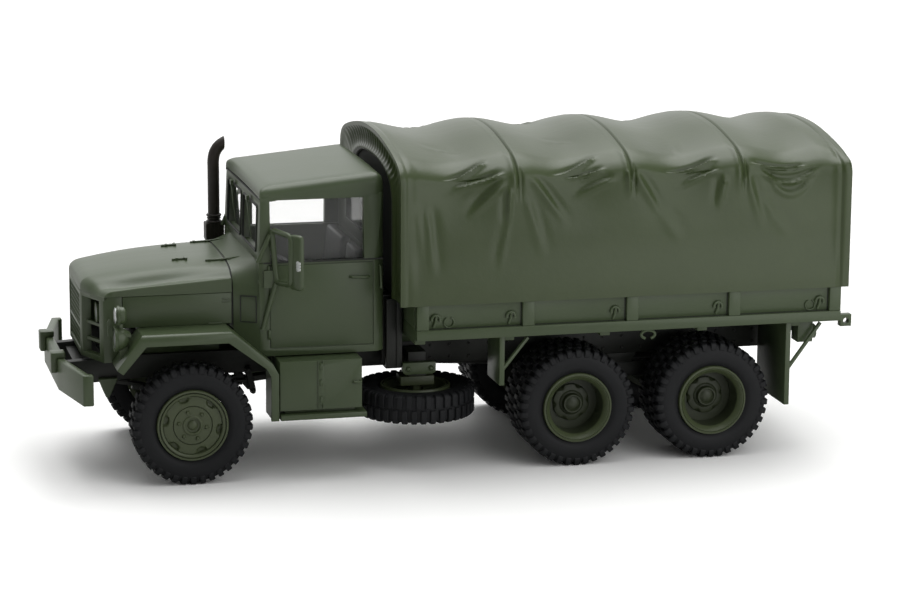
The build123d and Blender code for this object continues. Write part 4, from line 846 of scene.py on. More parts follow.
# %% The cover's relief
sag_depth, side_inset, seam_rise, seam_cut, pipe_rise, tail_drop = 0.9, 0.4, 0.12, 0.2, 0.16, 0.6
furrow_share, furrow_shift, furrow_width = 0.7, 2.0, 1.3
fold_start, fold_end = (-0.02, 0.22), (0.45, 1.05)  # shares of a fold's length where it rises and fades
slack_fade, taut_fade = (shoulder - 1.0, shoulder + 6.5), (shoulder + 0.5, shoulder + 3.0)
flat_start, flat_end = (shoulder - 4.0, shoulder), (section_length - 6.0, section_length)
low_seam_start, tail_fade, tail_reach = (shoulder - 1.5, shoulder - 0.3), (shoulder - 2, shoulder + 1), 3.0
seam_ridge, seam_line, low_seam_line = (0.2, 0.3), (-0.22, 0.13), (-0.6, 0.13)  # station from the bow, width
front_pipe, rear_pipe, end_band = (-0.75, 0.2), (0.95, 0.16), (0.3, 2.0)  # station from the end, width


def ridge(off, width):
    """A ridge of height 1 at distance 0 with a wider furrow beside it."""
    return hill(off, 0, width) - furrow_share * hill(off, furrow_shift * width, furrow_width * width)


def fold_rise(station, run, fold):
    """Height of one fold over the grid: a ridge that starts at its bow and fades."""
    bow, s0, z0, s1, z1, rise, width = fold
    a = np.array((bows[bow] + s0, run_at(z0)))
    b = np.array((bows[bow] + s1, run_at(z1)))
    line = b - a
    length = np.hypot(*line)
    u = ((station - a[0]) * line[0] + (run - a[1]) * line[1]) / length ** 2
    off = ((station - a[0]) * line[1] - (run - a[1]) * line[0]) / length * np.sign(line[0])
    fade = ramp(u, *fold_start) * (1 - ramp(u, *fold_end))
    return fade * rise * ridge(off, width)


def festoon_rise(station, run, festoon):
    """Height of one hanging fold between two points of the same height."""
    first, last, height, dip, rise, width = festoon
    u = (station - first) / (last - first)
    middle = run_at(height) + dip * 4 * u * (1 - u)
    fade = ramp(u, 0.0, 0.2) * (1 - ramp(u, 0.8, 1.0))
    return fade * rise * ridge(middle - run, width)


def tail_fall(run):
    """How far the crown drops at the tail, over arc lengths."""
    return tail_drop * (1 - ramp(run, *tail_fade))


def cover_rise(station, run):
    """How far the cover stands out from its plain section, over arrays of stations and arc lengths."""
    bay = (bows[0] - station) / (bows[0] - bows[1])
    slack = 1 - ramp(run, *slack_fade)
    rise = -sag_depth * (0.5 - 0.5 * np.cos(2 * np.pi * bay)) * slack
    end_gap = np.minimum(cover_front - station, station - cover_rear)
    flat_side = ramp(run, *flat_start) * (1 - ramp(run, *flat_end))
    rise -= side_inset * flat_side * ramp(end_gap, *end_band)
    taut = 1 - ramp(run, *taut_fade)
    low_seam = ramp(run, *low_seam_start) * taut
    for bow in bows[1:4]:
        rise += taut * seam_rise * hill(station - bow, *seam_ridge)
        rise -= taut * seam_cut * hill(station - bow, *seam_line)
        rise -= low_seam * seam_cut * hill(station - bow, *low_seam_line)
    rise += sum(fold_rise(station, run, fold) for fold in fold_table)
    rise += sum(festoon_rise(station, run, festoon) for festoon in festoon_table)
    rise -= 0.5 * pipe_rise * hill(station - cover_front, *front_pipe)
    rise -= pipe_rise * hill(station - cover_rear, *rear_pipe)
    rise -= ramp(-station, -cover_rear - tail_reach, -cover_rear) * tail_fall(run)
    return np.minimum(rise, 0.0)


print("sag between the first bows", round(-float(cover_rise(np.mean(bows[:2]), 0.0)), 2), "mm")

# %% [markdown]
# The cover's skin is a grid, fine near the bows and the shoulder, where the relief is, and coarser
# elsewhere. The relief moves each point along the section's own outward direction, so that folds stand
# square to the canvas on the side as well as on the top.

# %% The cover's skin
def spaced(low, high, fine_spots, fine=0.1, coarse=0.26, reach=0.9):
    """Values from low to high in fine steps near some spots and coarser ones elsewhere."""
    values = [low]
    while values[-1] < high:
        near = min(abs(values[-1] - spot) for spot in fine_spots) < reach
        values.append(values[-1] + (fine if near else coarse))
    values[-1] = high
    return np.array(values)


stations = spaced(cover_rear, cover_front, bows)
half_run = spaced(0.0, section_length, [shoulder], 0.2, 0.6, 4.5)
grid_station, grid_run = np.meshgrid(stations, half_run, indexing="ij")
profile_points, _ = along(section, half_run)
slope = np.gradient(profile_points, half_run, axis=0)
outward = np.stack((-slope[:, 1], slope[:, 0]), axis=-1)
outward /= np.linalg.norm(outward, axis=1)[:, None]
half_yz = profile_points[None] + outward[None] * cover_rise(grid_station, grid_run)[..., None]
body_rows = np.array([cross_row(s, yz) for s, yz in zip(stations, half_yz)])
print("cover grid", body_rows.shape, "bows at", [round(b, 1) for b in bows])

# %% [markdown]
# Each end of the cover is a face with a rolled edge round an arched mouth. A drawstring gathers the front
# one into pleats, which a cosine over the arc length gives. A curtain in painted shade closes the front
# mouth.

# %% The cover's ends
mouth_half, mouth_crown, mouth_spring = 9.3, cover_top - 2.8, cover_top - 6.0
mouth_table = ((0.0, 0.0), (0.35, 0.12), (0.65, 0.6), (0.9, 1.7))  # share of the half width, fall
mouth_arch = curve_through([(share * mouth_half, mouth_crown - fall) for share, fall in mouth_table]
                           + [(mouth_half, mouth_spring)])
_, mouth_length = along(mouth_arch, [0.0])
end_run = np.concatenate((np.arange(0, shoulder, 0.13), np.linspace(shoulder, section_length, 24)))
fall_share = np.clip((end_run - shoulder) / (section_length - shoulder), 0, 1)
mouth_points = along(mouth_arch, np.clip(end_run / shoulder, 0, 1) * mouth_length)[0]
mouth_points[:, 1] += (cover_hem - mouth_spring) * fall_share
face_table = (  # share of the way from the edge to the mouth, how far the face stands back from the edge
    (0.0, 0.12), (0.03, 0.02), (0.08, 0.0), (0.14, 0.05), (0.2, 0.14), (0.28, 0.2), (0.36, 0.24),
    (0.46, 0.27), (0.56, 0.29), (0.66, 0.3), (0.75, 0.28), (0.82, 0.2), (0.88, 0.1), (0.94, 0.1),
    (1.0, 0.24), (1.01, 0.6),
)
pleat_pitch, pleat_depth, pleat_middle, pleat_reach = 1.2, 0.3, 0.46, 0.26


def end_face(edge_drop, end_station, inward, pleats):
    """Rows from the cover's end edge to its mouth, with radial pleats over the arch."""
    edge = along(section, end_run)[0] - np.column_stack((np.zeros(len(end_run)), edge_drop))
    over_arch = 1 - ramp(end_run, shoulder * 0.75, shoulder)
    rows = []
    for share, back in face_table:
        gather = pleats * hill(share, pleat_middle, pleat_reach) * over_arch
        wave = gather * pleat_depth * (0.5 - 0.5 * np.cos(2 * np.pi * end_run / pleat_pitch))
        rows.append(cross_row(end_station + inward * (back + wave), edge + (mouth_points - edge) * share))
    return np.array(rows)


skin_wall, end_wall = 0.4, 0.3
bm = bmesh.new()
add_shell(bm, body_rows[::-1], skin_wall)
add_shell(bm, end_face(np.zeros(len(end_run)), cover_front, -1, 1.0)[::-1], end_wall)
add_shell(bm, end_face(tail_fall(end_run), cover_rear, 1, 0.0), end_wall)
piece("folded_cover", bm, "cover_olive", replaces=("cover",), crease=60)
curtain = [tuple(p) for p in mouth_points[::4]] + [tuple(mouth_points[-1])]
curtain += [(-y, z) for y, z in curtain[:0:-1]]
bm = bmesh.new()
prism(bm, curtain, at(cover_front) - 0.85, at(cover_front) - 0.6, "x")
piece("front_curtain", bm, "cover_olive", finish=shadow_line)
print("cover mouth", 2 * mouth_half, "mm wide,", len(face_table), "rows an end")

# %% [markdown]
# The bonnet is a crowned panel whose shoulders fall into a cove that runs out at the cowl, over a sharp
# crease and a narrow upright edge. A subdivided cage would soften that crease, so sections across it are
# drawn at the nose and at the cowl and blended between.

# %% Bonnet
hood_low, hood_high = limits("hood")
hood_front, hood_rear = hood_high.x - axle_x, hood_low.x - axle_x
hood_half, hood_edge, hood_top = hood_high.y, hood_low.z, hood_high.z
nose_flat, nose_corner, nose_sweep, sweep_power, sweep_reach = 4.4, 8.4, 1.7, 1.15, 6.5
cove_depth, cove_middle, cove_width, cove_end = 0.42, 7.25, 0.75, 1.08
rise_power, crease_fall, hood_wall = 2.2, 0.06, 0.35
nose_section = curve_through([(0, 19.4), (2.6, 19.37), (4.4, 19.27), (5.6, 19.06), (6.4, 18.84), (7.2, 18.71),
                              (8.0, 18.665), (hood_half - 0.05, 18.65)])
cowl_section = curve_through([(0, hood_top - 0.05), (2.8, hood_top - 0.08), (5.0, hood_top - 0.2),
                              (6.6, 20.26), (7.4, 19.95), (7.9, 19.64), (8.2, 19.53),
                              (hood_half - 0.05, 19.5)])
brow_table = [  # distance back from the nose, fall below the nose's top, for the rolled front edge
    (0.0, 1.25), (0.0, 0.75), (0.05, 0.5), (0.16, 0.3), (0.34, 0.15), (0.6, 0.05), (0.95, 0.0),
]
outward_share = np.linspace(0, 1, len(nose_section)) ** 2
hood_rows = []
for back, fall in brow_table + [(back, 0.0) for back in np.linspace(1.4, hood_front - hood_rear, 44)]:
    t = back / (hood_front - hood_rear)
    rising = (1 - (1 - t) ** rise_power) * (1 - outward_share) + t * outward_share
    yz = nose_section + (cowl_section - nose_section) * rising[:, None]
    cove = cove_depth * math.sin(math.pi * min(1.0, cove_end * t))
    yz[:, 1] -= cove * hill(yz[:, 0], cove_middle, cove_width)
    yz = np.vstack((yz, [(hood_half, yz[-1, 1] - crease_fall), (hood_half, hood_edge)]))
    yz[:, 1] = np.maximum(yz[:, 1] - fall, hood_edge)
    sweep = nose_sweep * np.clip((yz[:, 0] - nose_flat) / (nose_corner - nose_flat), 0, 1.05) ** sweep_power
    hood_rows.append(cross_row(hood_front - back - sweep * (1 - ramp(back, 0.0, sweep_reach)), yz))
bm = bmesh.new()
add_shell(bm, hood_rows, hood_wall)
piece("crowned_hood", bm, "body_olive", replaces=("hood",), crease=38)
print("bonnet", len(hood_rows), "sections")

# %% [markdown]
# Behind the bonnet the cowl carries its curve on and widens to the cab. On the model it is one smooth
# surface, so it is a grid between the bonnet's last section and a rounder one at the windscreen. The
# cab's solid is square there, so that corner of its copy is cut away with a Boolean first.

# %% Cowl
def cut_away(bm, boxes):
    """Cut boxes out of a bmesh in millimetres with a Boolean modifier."""
    tool = bmesh.new()
    for limits_x, limits_y, limits_z in boxes:
        box(tool, limits_x, limits_y, limits_z)
    for source in (bm, tool):
        bmesh.ops.recalc_face_normals(source, faces=source.faces)
    whole, cutter = link_mesh("whole", bm), link_mesh("cutter", tool)
    trim = whole.modifiers.new("trim", "BOOLEAN")
    trim.operation = "DIFFERENCE"
    trim.solver = "EXACT"
    trim.use_self = True
    trim.object = cutter
    rest = bmesh.new()
    rest.from_mesh(plain_mesh(whole))
    for obj in (whole, cutter):
        bpy.data.objects.remove(obj)
    return rest


cowl_front, cowl_rear, cab_half = -4.56, -6.93, limits("cab")[1].y
panel_half = limits("hood_side_panels")[1].y
front_section = curve_through([(0, 20.72), (2.8, 20.69), (5.0, 20.57), (6.6, 20.28), (7.4, 19.95),
                               (7.95, 19.45), (8.35, 18.8), (8.52, 18.0), (panel_half + 0.07, 17.0),
                               (panel_half + 0.08, 15.0)])
rear_section = curve_through([(0, 21.15), (4.0, 21.15), (6.3, 21.1), (7.4, 20.95), (8.2, 20.6), (8.75, 20.1),
                              (9.2, 19.35), (9.55, 18.5), (cab_half - 0.06, 17.4), (cab_half + 0.03, 15.0)])
foot_station, foot_height, foot_slope, crown_power = -3.75, 15.05, 0.85, 1.6
cowl_rows = []
for share in np.linspace(0, 1, 16):
    station = cowl_front + (cowl_rear - cowl_front) * share
    yz = front_section + (rear_section - front_section) * np.array((share, share ** crown_power))
    yz[-1, 1] = foot_height - foot_slope * (foot_station - station)
    cowl_rows.append(cross_row(station, yz))
cut_x = (at(-3.5), at(-6.86))
# Limits along, across and up of what is cut from each front corner and from the cowl's top
corner_cuts = [(cut_x, (side * 7.0, side * 11), (13.0, 23)) for side, _ in SIDES]
corner_cuts += [(cut_x, (-7.5, 7.5), (19.5, 23))]
piece("soft_cab", cut_away(solid_copy("cab"), corner_cuts), "body_olive", replaces=("cab",), edge=0.05)
bm = bmesh.new()
add_shell(bm, cowl_rows, 0.3)
piece("cowl_skin", bm, "body_olive", crease=50)
# A strip in painted shade lies under the gap between the bonnet and the cowl
seam_bed = front_section * np.array((0.985, 1.0)) - np.array((0, 0.12))
bm = bmesh.new()
add_shell(bm, [cross_row(s, seam_bed) for s in (-4.2, -4.45, -4.75)], 0.2)
piece("cowl_seam", bm, "body_olive", crease=50, finish=shadow_line)
print("cowl", len(cowl_rows), "sections")

# %% [markdown]
# The hardtop's walls and windows come from the solid, cut off above the windows and opened down to the
# sill. Its roof is a pressed cap that rises to the rear, is slightly crowned and rolls over at the sides
# and the back. A bevel can't change its radius along an edge, so the roof is a grid of points with one
# formula for the height.

# %% Hardtop
window_front, window_rear, cap_foot = -8.0, -17.2, 27.3
# Limits along, across and up: everything above the windows, then the sill of each side window
cuts = [((at(0), at(-30)), (-20, 20), (cap_foot + 0.2, 40))]
cuts += [((at(window_front), at(window_rear)), (side * 8.9, side * 11), (20.9, 21.8)) for side, _ in SIDES]
piece("soft_hardtop", cut_away(solid_copy("hardtop"), cuts), "body_olive", replaces=("hardtop",), edge=0.06)
brow_station, brow_height, roof_rake, rake_front, rake_rear = -7.9, 28.4, 0.095, -8.05, -18.5
roof_half, rear_round, roof_crown = 9.47, 0.8, 0.16


def roof_line(station):
    """Height of the roof's flat at a station, before its crown."""
    return brow_height + roof_rake * (brow_station - station)


front_rows = [(-7.04, cap_foot), (-7.04, 27.6), (-7.08, 27.84), (-7.18, 28.02), (-7.36, 28.15),
              (-7.62, 28.26), (-7.9, 28.35), (-8.15, 28.42)]
flat_rows = [(s, roof_line(s)) for s in np.linspace(-8.6, -17.0, 15)]
rear_falls = ((-17.8, 0.0), (-18.3, 0.03), (-18.65, 0.1), (-18.9, 0.25), (-19.1, 0.5), (-19.22, 0.9),
              (-19.27, 1.5))
rear_rows = [(s, roof_line(s) - fall) for s, fall in rear_falls] + [(-19.29, cap_foot)]
roll_table = [(y, 0.0) for y in (0, 1.5, 3.0, 4.5, 6.0, 7.2, 7.8)]  # distance from the middle, fall
roll_table += [(8.2, 0.02), (8.55, 0.07), (8.85, 0.17), (9.1, 0.33), (9.28, 0.55), (9.4, 0.84), (9.46, 1.2),
               (roof_half, 9.0)]
roof_rows = []
for station, height in front_rows + flat_rows + rear_rows:
    beyond = min(rear_round, max(0.0, rake_rear - station))
    half = roof_half - rear_round + math.sqrt(rear_round ** 2 - beyond ** 2)
    row = []
    for y, fall in roll_table:
        crown = roof_crown * (1 - (y / roof_half) ** 2)
        top = roof_line(max(rake_rear, min(station, rake_front))) + crown - fall
        row.append((at(station), y * half / roof_half, max(cap_foot, min(height + crown, top))))
    roof_rows.append(row)
bm = bmesh.new()
add_shell(bm, roof_rows, 0.3)
piece("hardtop_roof", bm, "body_olive", crease=50)
print("roof rises", round(flat_rows[-1][1] - flat_rows[0][1], 2), "mm to the rear")

# %% [markdown]
# A fender is a bent strip with a lip. The solid has its outline; here its outer top edge is rolled over
# with a wide bevel and the lip is drawn down along the flat, as on the moulding.

# %% Fenders
lip_reach, lip_band, lip_drop, roll_radius, shortest_roll = 0.5, (0.7, 0.8), 0.35, 0.42, 1.0
for _, side_name in SIDES:
    bm = solid_copy(f"{side_name}_fender")
    low, high = limits(f"{side_name}_fender")
    outer = max(abs(low.y), abs(high.y))
    top_edge = [v for v in bm.verts if abs(abs(v.co.y) - outer) < 0.01 and abs(v.co.z - high.z) < 0.01]
    for vertex in bm.verts:
        if abs(vertex.co.y) > outer - lip_reach and lip_band[0] < high.z - vertex.co.z < lip_band[1]:
            vertex.co.z -= lip_drop
    rolled = [e for e in bm.edges if all(v in top_edge for v in e.verts) and e.calc_length() > shortest_roll]
    bmesh.ops.bevel(bm, geom=rolled, offset=roll_radius, segments=4, affect="EDGES", profile=0.5)
    piece(f"rolled_{side_name}_fender", bm, "body_olive", replaces=(f"{side_name}_fender",), edge=0.08)
print("fenders", len(SIDES))

# %% [markdown]
# Rivets, grille wires and ribs stand in straight rows, one row or several. An Array modifier would take
# two passes; a second Geometry Nodes tree takes the mesh of one and puts copies at even steps along the
# row and from row to row.

# %% Rows of copies by Geometry Nodes
def row_tree():
    """Node tree that repeats its geometry in one or more straight rows."""
    tree, given = new_tree("rows_of_copies", Count="Int", Step="Vector", Rows="Int", Row_Step="Vector",
                           Start="Vector")
    total = add_node(tree, "ShaderNodeMath", {"operation": "MULTIPLY"}, _0=given["Count"], _1=given["Rows"])
    index = add_node(tree, "GeometryNodeInputIndex").outputs[0]
    along_row = add_node(tree, "ShaderNodeMath", {"operation": "MODULO"}, _0=index, _1=given["Count"])
    rows_done = add_node(tree, "ShaderNodeMath", {"operation": "DIVIDE"}, _0=index, _1=given["Count"])
    row = add_node(tree, "ShaderNodeMath", {"operation": "FLOOR"}, _0=rows_done.outputs[0])
    aside = add_node(tree, "ShaderNodeVectorMath", {"operation": "SCALE"}, Vector=given["Step"],
                     Scale=along_row.outputs[0])
    over = add_node(tree, "ShaderNodeVectorMath", {"operation": "SCALE"}, Vector=given["Row Step"],
                    Scale=row.outputs[0])
    place = add_node(tree, "ShaderNodeVectorMath", {"operation": "ADD"}, _0=aside.outputs[0],
                     _1=over.outputs[0])
    points = add_node(tree, "GeometryNodePoints", Count=total.outputs[0], Position=place.outputs[0])
    copies = add_node(tree, "GeometryNodeInstanceOnPoints", Points=points.outputs[0],
                      Instance=given["Geometry"])
    end_tree(tree, given, copies, given["Start"])
    return tree


ROW = row_tree()


def row_of(one, count, step, start, finish, rows=1, row_step=(0, 0, 0)):
    """Mesh of rows of copies of one thing."""
    return repeat(ROW, one, Count=count, Step=step, Rows=rows, Row_Step=row_step, Start=start, Finish=finish)


print("row tree inputs", [item.name for item in ROW.interface.items_tree if item.in_out == "INPUT"])

# %% [markdown]
# The radiator grille is a pressed sheet with a diamond mesh in the middle. A texture would be flat from
# the side, so one lozenge of wire is repeated over the opening in front of the solid's bars, with a stay
# across the middle. Behind it stands the radiator's finned core, coloured in painted shade, so that no
# floor shines through the nose.

# %% Grille mesh and radiator core
mesh_half, mesh_low, mesh_high, lozenge, wire = 4.0, 12.25, 17.65, 0.47, 0.05
mesh_x, half = at(hood_front) - 0.14, lozenge / 2
one = bmesh.new()
tube(one, [(0, half, 0), (0, 0, half), (0, -half, 0), (0, 0, -half), (0, half, 0)], wire, 4)
columns, rows = int(2 * mesh_half / lozenge), int((mesh_high - mesh_low) / lozenge)
start = Vector((mesh_x, -(columns - 1) * half, (mesh_low + mesh_high) / 2 - (rows - 1) * half))
bm = bmesh.new()
bm.from_mesh(row_of(one, columns, (0, lozenge, 0), start, body_olive, rows, (0, 0, lozenge)))
box(bm, (mesh_x - 0.08, mesh_x + 0.1), (-mesh_half, mesh_half), (14.15, 14.45))
piece("grille_mesh", bm, "body_olive")
core_station, core_half, core_low, core_high, fin_count, fin_pitch = 6.5, 7.7, 11.8, 17.9, 40, 0.38
fin_half, fin_foot = 0.05, 0.1
one = bmesh.new()
box(one, (0, 0.2), (-fin_half, fin_half), (core_low + fin_foot, core_high))
bm = bmesh.new()
fin_start = (at(core_station), -(fin_count - 1) / 2 * fin_pitch, 0)
bm.from_mesh(row_of(one, fin_count, (0, fin_pitch, 0), fin_start, shadow_line))
block(bm, 1, (core_station - 0.15, core_station), (-core_half, core_half), (core_low, core_high))
block(bm, 1, (core_station - 0.1, core_station + 1.4), (-core_half, core_half),
      (core_low - 0.05, core_low + fin_foot))
piece("radiator_core", bm, "chassis_dark_olive", finish=shadow_line)
print("grille lozenges", columns * rows, "fins", fin_count)

# %% [markdown]
# The lamps are drums, so they are turned: headlamps behind the nose's openings, and on each fender a drum
# lamp with a marker lamp on a stalk over it. Their lenses are a separate silver piece, because the real
# ones are painted.

# %% Lamps
head_x, drum_x, marker_x = limits("headlamps")[1].x + 0.4, at(7.3), at(7.25)
head_y, head_z, lamp_y, drum_z, marker_z = 6.3, 16.3, 10.45, 14.5, 16.77
head_lamp = (  # profile of the body, then of the lens: radius, distance forward of the lamp's face
    [(0.0, -1.2), (0.35, -1.2), (0.7, -0.95), (0.92, -0.55), (1.0, -0.2), (1.0, 0.0), (0.9, 0.03),
     (0.84, -0.06), (0.0, -0.06)],
    [(0.84, -0.1), (0.84, -0.04), (0.5, 0.02), (0.0, 0.03), (0.0, -0.1)],
)
drum_lamp = (
    [(0.0, -1.5), (0.45, -1.46), (0.85, -1.2), (1.08, -0.75), (1.14, -0.3), (1.25, -0.24), (1.25, 0.0),
     (1.1, 0.0), (1.05, -0.16), (0.0, -0.16)],
    [(1.05, -0.2), (1.05, -0.14), (0.6, -0.06), (0.0, -0.03), (0.0, -0.2)],
)
marker_lamp = (
    [(0.0, -1.15), (0.55, -1.13), (0.8, -0.95), (0.84, -0.55), (0.94, -0.5), (0.94, -0.3), (0.82, -0.26),
     (0.8, -0.12), (0.0, -0.12)],
    [(0.78, -0.14), (0.78, -0.08), (0.5, 0.0), (0.0, 0.02), (0.0, -0.14)],
)
bracket_table = (  # foot, guard and hood: outline of stations and heights, distances out from the lamp
    (((6.75, 12.5), (6.85, 13.9), (6.1, 14.2), (6.0, 13.48)), (-0.4, 0.4)),
    (((7.75, 14.6), (7.8, 16.0), (7.65, 16.25), (7.5, 16.2), (7.3, 15.5), (7.3, 14.6)), (-0.9, -0.7)),
    (((6.9, 15.3), (5.75, 15.05), (5.72, 14.75), (6.2, 14.85), (6.9, 15.1)), (-0.8, 0.8)),
)
stalk_x, stalk_radius, stalk_low, stalk_high = marker_x - 0.6, 0.26, 15.4, 16.1
bodies, lenses = bmesh.new(), bmesh.new()
for side, _ in SIDES:
    for (body_profile, lens_profile), x, y, z in (
            (head_lamp, head_x, head_y, head_z), (drum_lamp, drum_x, lamp_y, drum_z),
            (marker_lamp, marker_x, lamp_y, marker_z)):
        turned(bodies, body_profile, (x, side * y, z), (1, 0, 0), 32)
        turned(lenses, lens_profile, (x, side * y, z), (1, 0, 0), 32)
    tube(bodies, [(stalk_x, side * lamp_y, z) for z in (stalk_low, stalk_high)], stalk_radius, 12)
    for outline, (inner, outer) in bracket_table:
        plate(bodies, side, outline, (lamp_y + inner, lamp_y + outer))
    box(bodies, (head_x - 1.3, head_x - 0.9), (side * head_y, side * 7.4), (head_z - 0.4, head_z + 0.4))
piece("lamp_bodies", bodies, "body_olive", replaces=("fender_lamps", "headlamps"), crease=30)
piece("lamp_lenses", lenses, "lamp_silver", crease=30)
print("lamps", 6)

# %% [markdown]
# The exhaust stands beside the cowl: a ribbed base, three collar rings and a pipe that bends back to a
# tip cut upright. A curve object with a bevel would do; here the pipe is a bar along a smooth curve, cut
# by a plane, and its end is sunk so that it reads as a tube.

# %% Exhaust stack
stack_x, stack_y, pipe_radius, pipe_wall, bore_sink = at(-5.95), -10.65, 0.6, 0.1, (0.5, 0, -0.25)
bend_table = (  # shift back from the stack, height
    (0.0, 27.0), (0.0, 27.7), (-0.1, 28.4), (-0.38, 28.98), (-0.8, 29.4), (-1.5, 29.8),
)
collar_table = ((21.35, 21.6, 0.8), (21.75, 21.95, 0.72), (22.05, 22.25, 0.78))  # foot, top, radius
tip_x, pipe_foot, base_foot, base_top, down_foot = stack_x - 1.1, 21.3, 19.6, 21.4, 13.7
bm = bmesh.new()
bend = curve_through([(stack_x + shift, stack_y, height) for shift, height in bend_table], 6)
tube(bm, [(stack_x, stack_y, pipe_foot)] + [tuple(p) for p in bend], pipe_radius, 20)
bmesh.ops.bisect_plane(bm, geom=list(bm.verts) + list(bm.edges) + list(bm.faces), plane_co=(tip_x, 0, 0),
                       plane_no=(-1, 0, 0), clear_outer=True)
tip = bmesh.ops.contextual_create(bm, geom=[e for e in bm.edges if e.is_boundary])["faces"]
bmesh.ops.inset_region(bm, faces=tip, thickness=pipe_wall)
bore = [f for f in bm.faces if all(abs(v.co.x - tip_x) < 1e-4 for v in f.verts) and len(f.verts) > 8]
sunk = bmesh.ops.extrude_face_region(bm, geom=bore)["geom"]
bmesh.ops.translate(bm, vec=bore_sink, verts=[g for g in sunk if isinstance(g, bmesh.types.BMVert)])
bmesh.ops.delete(bm, geom=bore, context="FACES")
for low, high, radius in collar_table:
    inner, edge = pipe_radius - 0.1, radius - 0.05
    collar = [(inner, low), (edge, low), (radius, low + 0.06), (radius, high - 0.06), (edge, high),
              (inner, high)]
    turned(bm, collar, (stack_x, stack_y, 0), (0, 0, 1), 24)
box(bm, (stack_x - 0.92, stack_x + 0.92), (stack_y - 0.68, stack_y + 0.68), (base_foot, base_top))
for k in range(5):
    rib = stack_x - 0.84 + 0.42 * k
    box(bm, (rib - 0.1, rib + 0.1), (stack_y - 0.75, stack_y + 0.75), (base_foot + 0.1, base_top - 0.1))
tube(bm, [(stack_x, stack_y, down_foot), (stack_x, stack_y, base_foot + 0.1)], 0.48, 14)
box(bm, (stack_x - 0.3, stack_x + 0.3), (stack_y, -9.6), (16.4, 17.0))
piece("exhaust_stack_pipe", bm, "exhaust_brown_black", replaces=("exhaust_stack",), edge=0.04, segments=1)
print("exhaust pipe", pipe_radius * 2, "mm across")

# %% [markdown]
# Each mirror is a tall head on an open loop of tube, held to the door by braces. The loop's corners are
# cut to three points so that the tube bends round, and the head is a stack of rounded outlines with a
# thick rim. A dab of silver is a painted glint on its glass.

# %% Mirrors
loop_corners = ((-8.07, 10.1, 24.4), (-9.4, 13.0, 24.2), (-9.38, 13.0, 19.5), (-8.5, 10.1, 19.2))
loop_tube, loop_bend = 0.27, 0.45
head_middle, head_turn = Vector((at(-9.87), 13.25, 21.7)), math.radians(35)
head_half, head_rise, head_corner = 0.86, 2.68, 0.5
head_rings = (  # size, depth
    (0.78, 0.3), (0.92, 0.22), (1.0, 0.06), (1.0, -0.14), (0.93, -0.2), (0.84, -0.12),
)
brace_table = (  # ends as station, distance out and height, radius
    ((-8.44, 10.2, 19.2), (-7.14, 10.0, 14.6), 0.24), ((-7.9, 10.1, 23.9), (-6.7, 9.95, 21.2), 0.22),
    ((-8.2, 10.1, 22.6), (-8.2, 9.6, 22.6), 0.26), ((-8.4, 10.1, 20.3), (-8.4, 9.7, 20.3), 0.26),
)
hinge_plate = ((-7.3, -8.3), (9.8, 10.15), (18.7, 20.4))
spot_profile = ((0.0, -0.08), (0.36, -0.08), (0.3, 0.05), (0.0, 0.1))
spot_across, spot_depth, spot_height, spot_step = 0.45, 0.24, -0.25, 0.28


def rounded_loop(points, reach):
    """A closed path through corners, each cut to three points; its first points come again at its end."""
    path = []
    for i, point in enumerate(points):
        back = (points[i - 1] - point).normalized() * reach
        ahead = (points[(i + 1) % len(points)] - point).normalized() * reach
        path += [point + back, point + (back + ahead) * 0.3, point + ahead]
    return path + path[:2]


head_outline = []
for across, upright, first in ((1, 1, 0), (-1, 1, 90), (-1, -1, 180), (1, -1, 270)):
    for angle in (math.radians(first + step * 18) for step in range(6)):
        head_outline.append((across * (head_half - head_corner) + head_corner * math.cos(angle),
                             upright * (head_rise - head_corner) + head_corner * math.sin(angle)))
spots = bmesh.new()
for side, side_name in SIDES:
    mirror = Vector((1, side, 1))
    bm = bmesh.new()
    corners = [Vector((at(s), side * y, z)) for s, y, z in loop_corners]
    tube(bm, rounded_loop(corners, loop_bend), loop_tube, 10)
    middle = head_middle * mirror
    wide = Vector((-math.sin(head_turn), math.cos(head_turn), 0)) * mirror
    deep = Vector((math.cos(head_turn), math.sin(head_turn), 0)) * mirror
    rings = []
    for size, depth in head_rings:
        shrink = head_half * (1 - size)
        rings.append([bm.verts.new(middle + wide * (u * size) + deep * depth
                                   + Vector((0, 0, v - math.copysign(shrink, v)))) for u, v in head_outline])
    ring_faces(bm, rings)
    bm.faces.new(rings[0])
    bm.faces.new(rings[-1][::-1])
    for first, last, radius in brace_table:
        rod(bm, side, (first, last), radius, 10)
    block(bm, side, *hinge_plate)
    piece(f"{side_name}_mirror_loop", bm, "body_olive", replaces=(f"{side_name}_mirror",), crease=40)
    # Three silver dots in a column make the painted glint
    for k in (-1, 0, 1):
        spot = middle + wide * spot_across + deep * spot_depth + Vector((0, 0, spot_height + k * spot_step))
        turned(spots, spot_profile, spot, deep, 16)
piece("mirror_spots", spots, "lamp_silver")
print("mirrors", len(SIDES))

# %% [markdown]
# The bonnet carries latches, a hinge strip on each side of the cowl and a few small ribs. They sit on a
# curved skin, so a function reads the skin's height from the bonnet's own sections. They could be drawn
# on as lines, but each catches a small highlight, so they are solid.

# %% Bonnet and cowl fittings
def hood_height(station, y):
    """Height of the bonnet's skin at a place, in millimetres."""
    xs = [np.interp(y, row[:, 1], row[:, 0]) for row in hood_rows]
    zs = [np.interp(y, row[:, 1], row[:, 2]) for row in hood_rows]
    return float(np.interp(-at(station), -np.array(xs), zs))


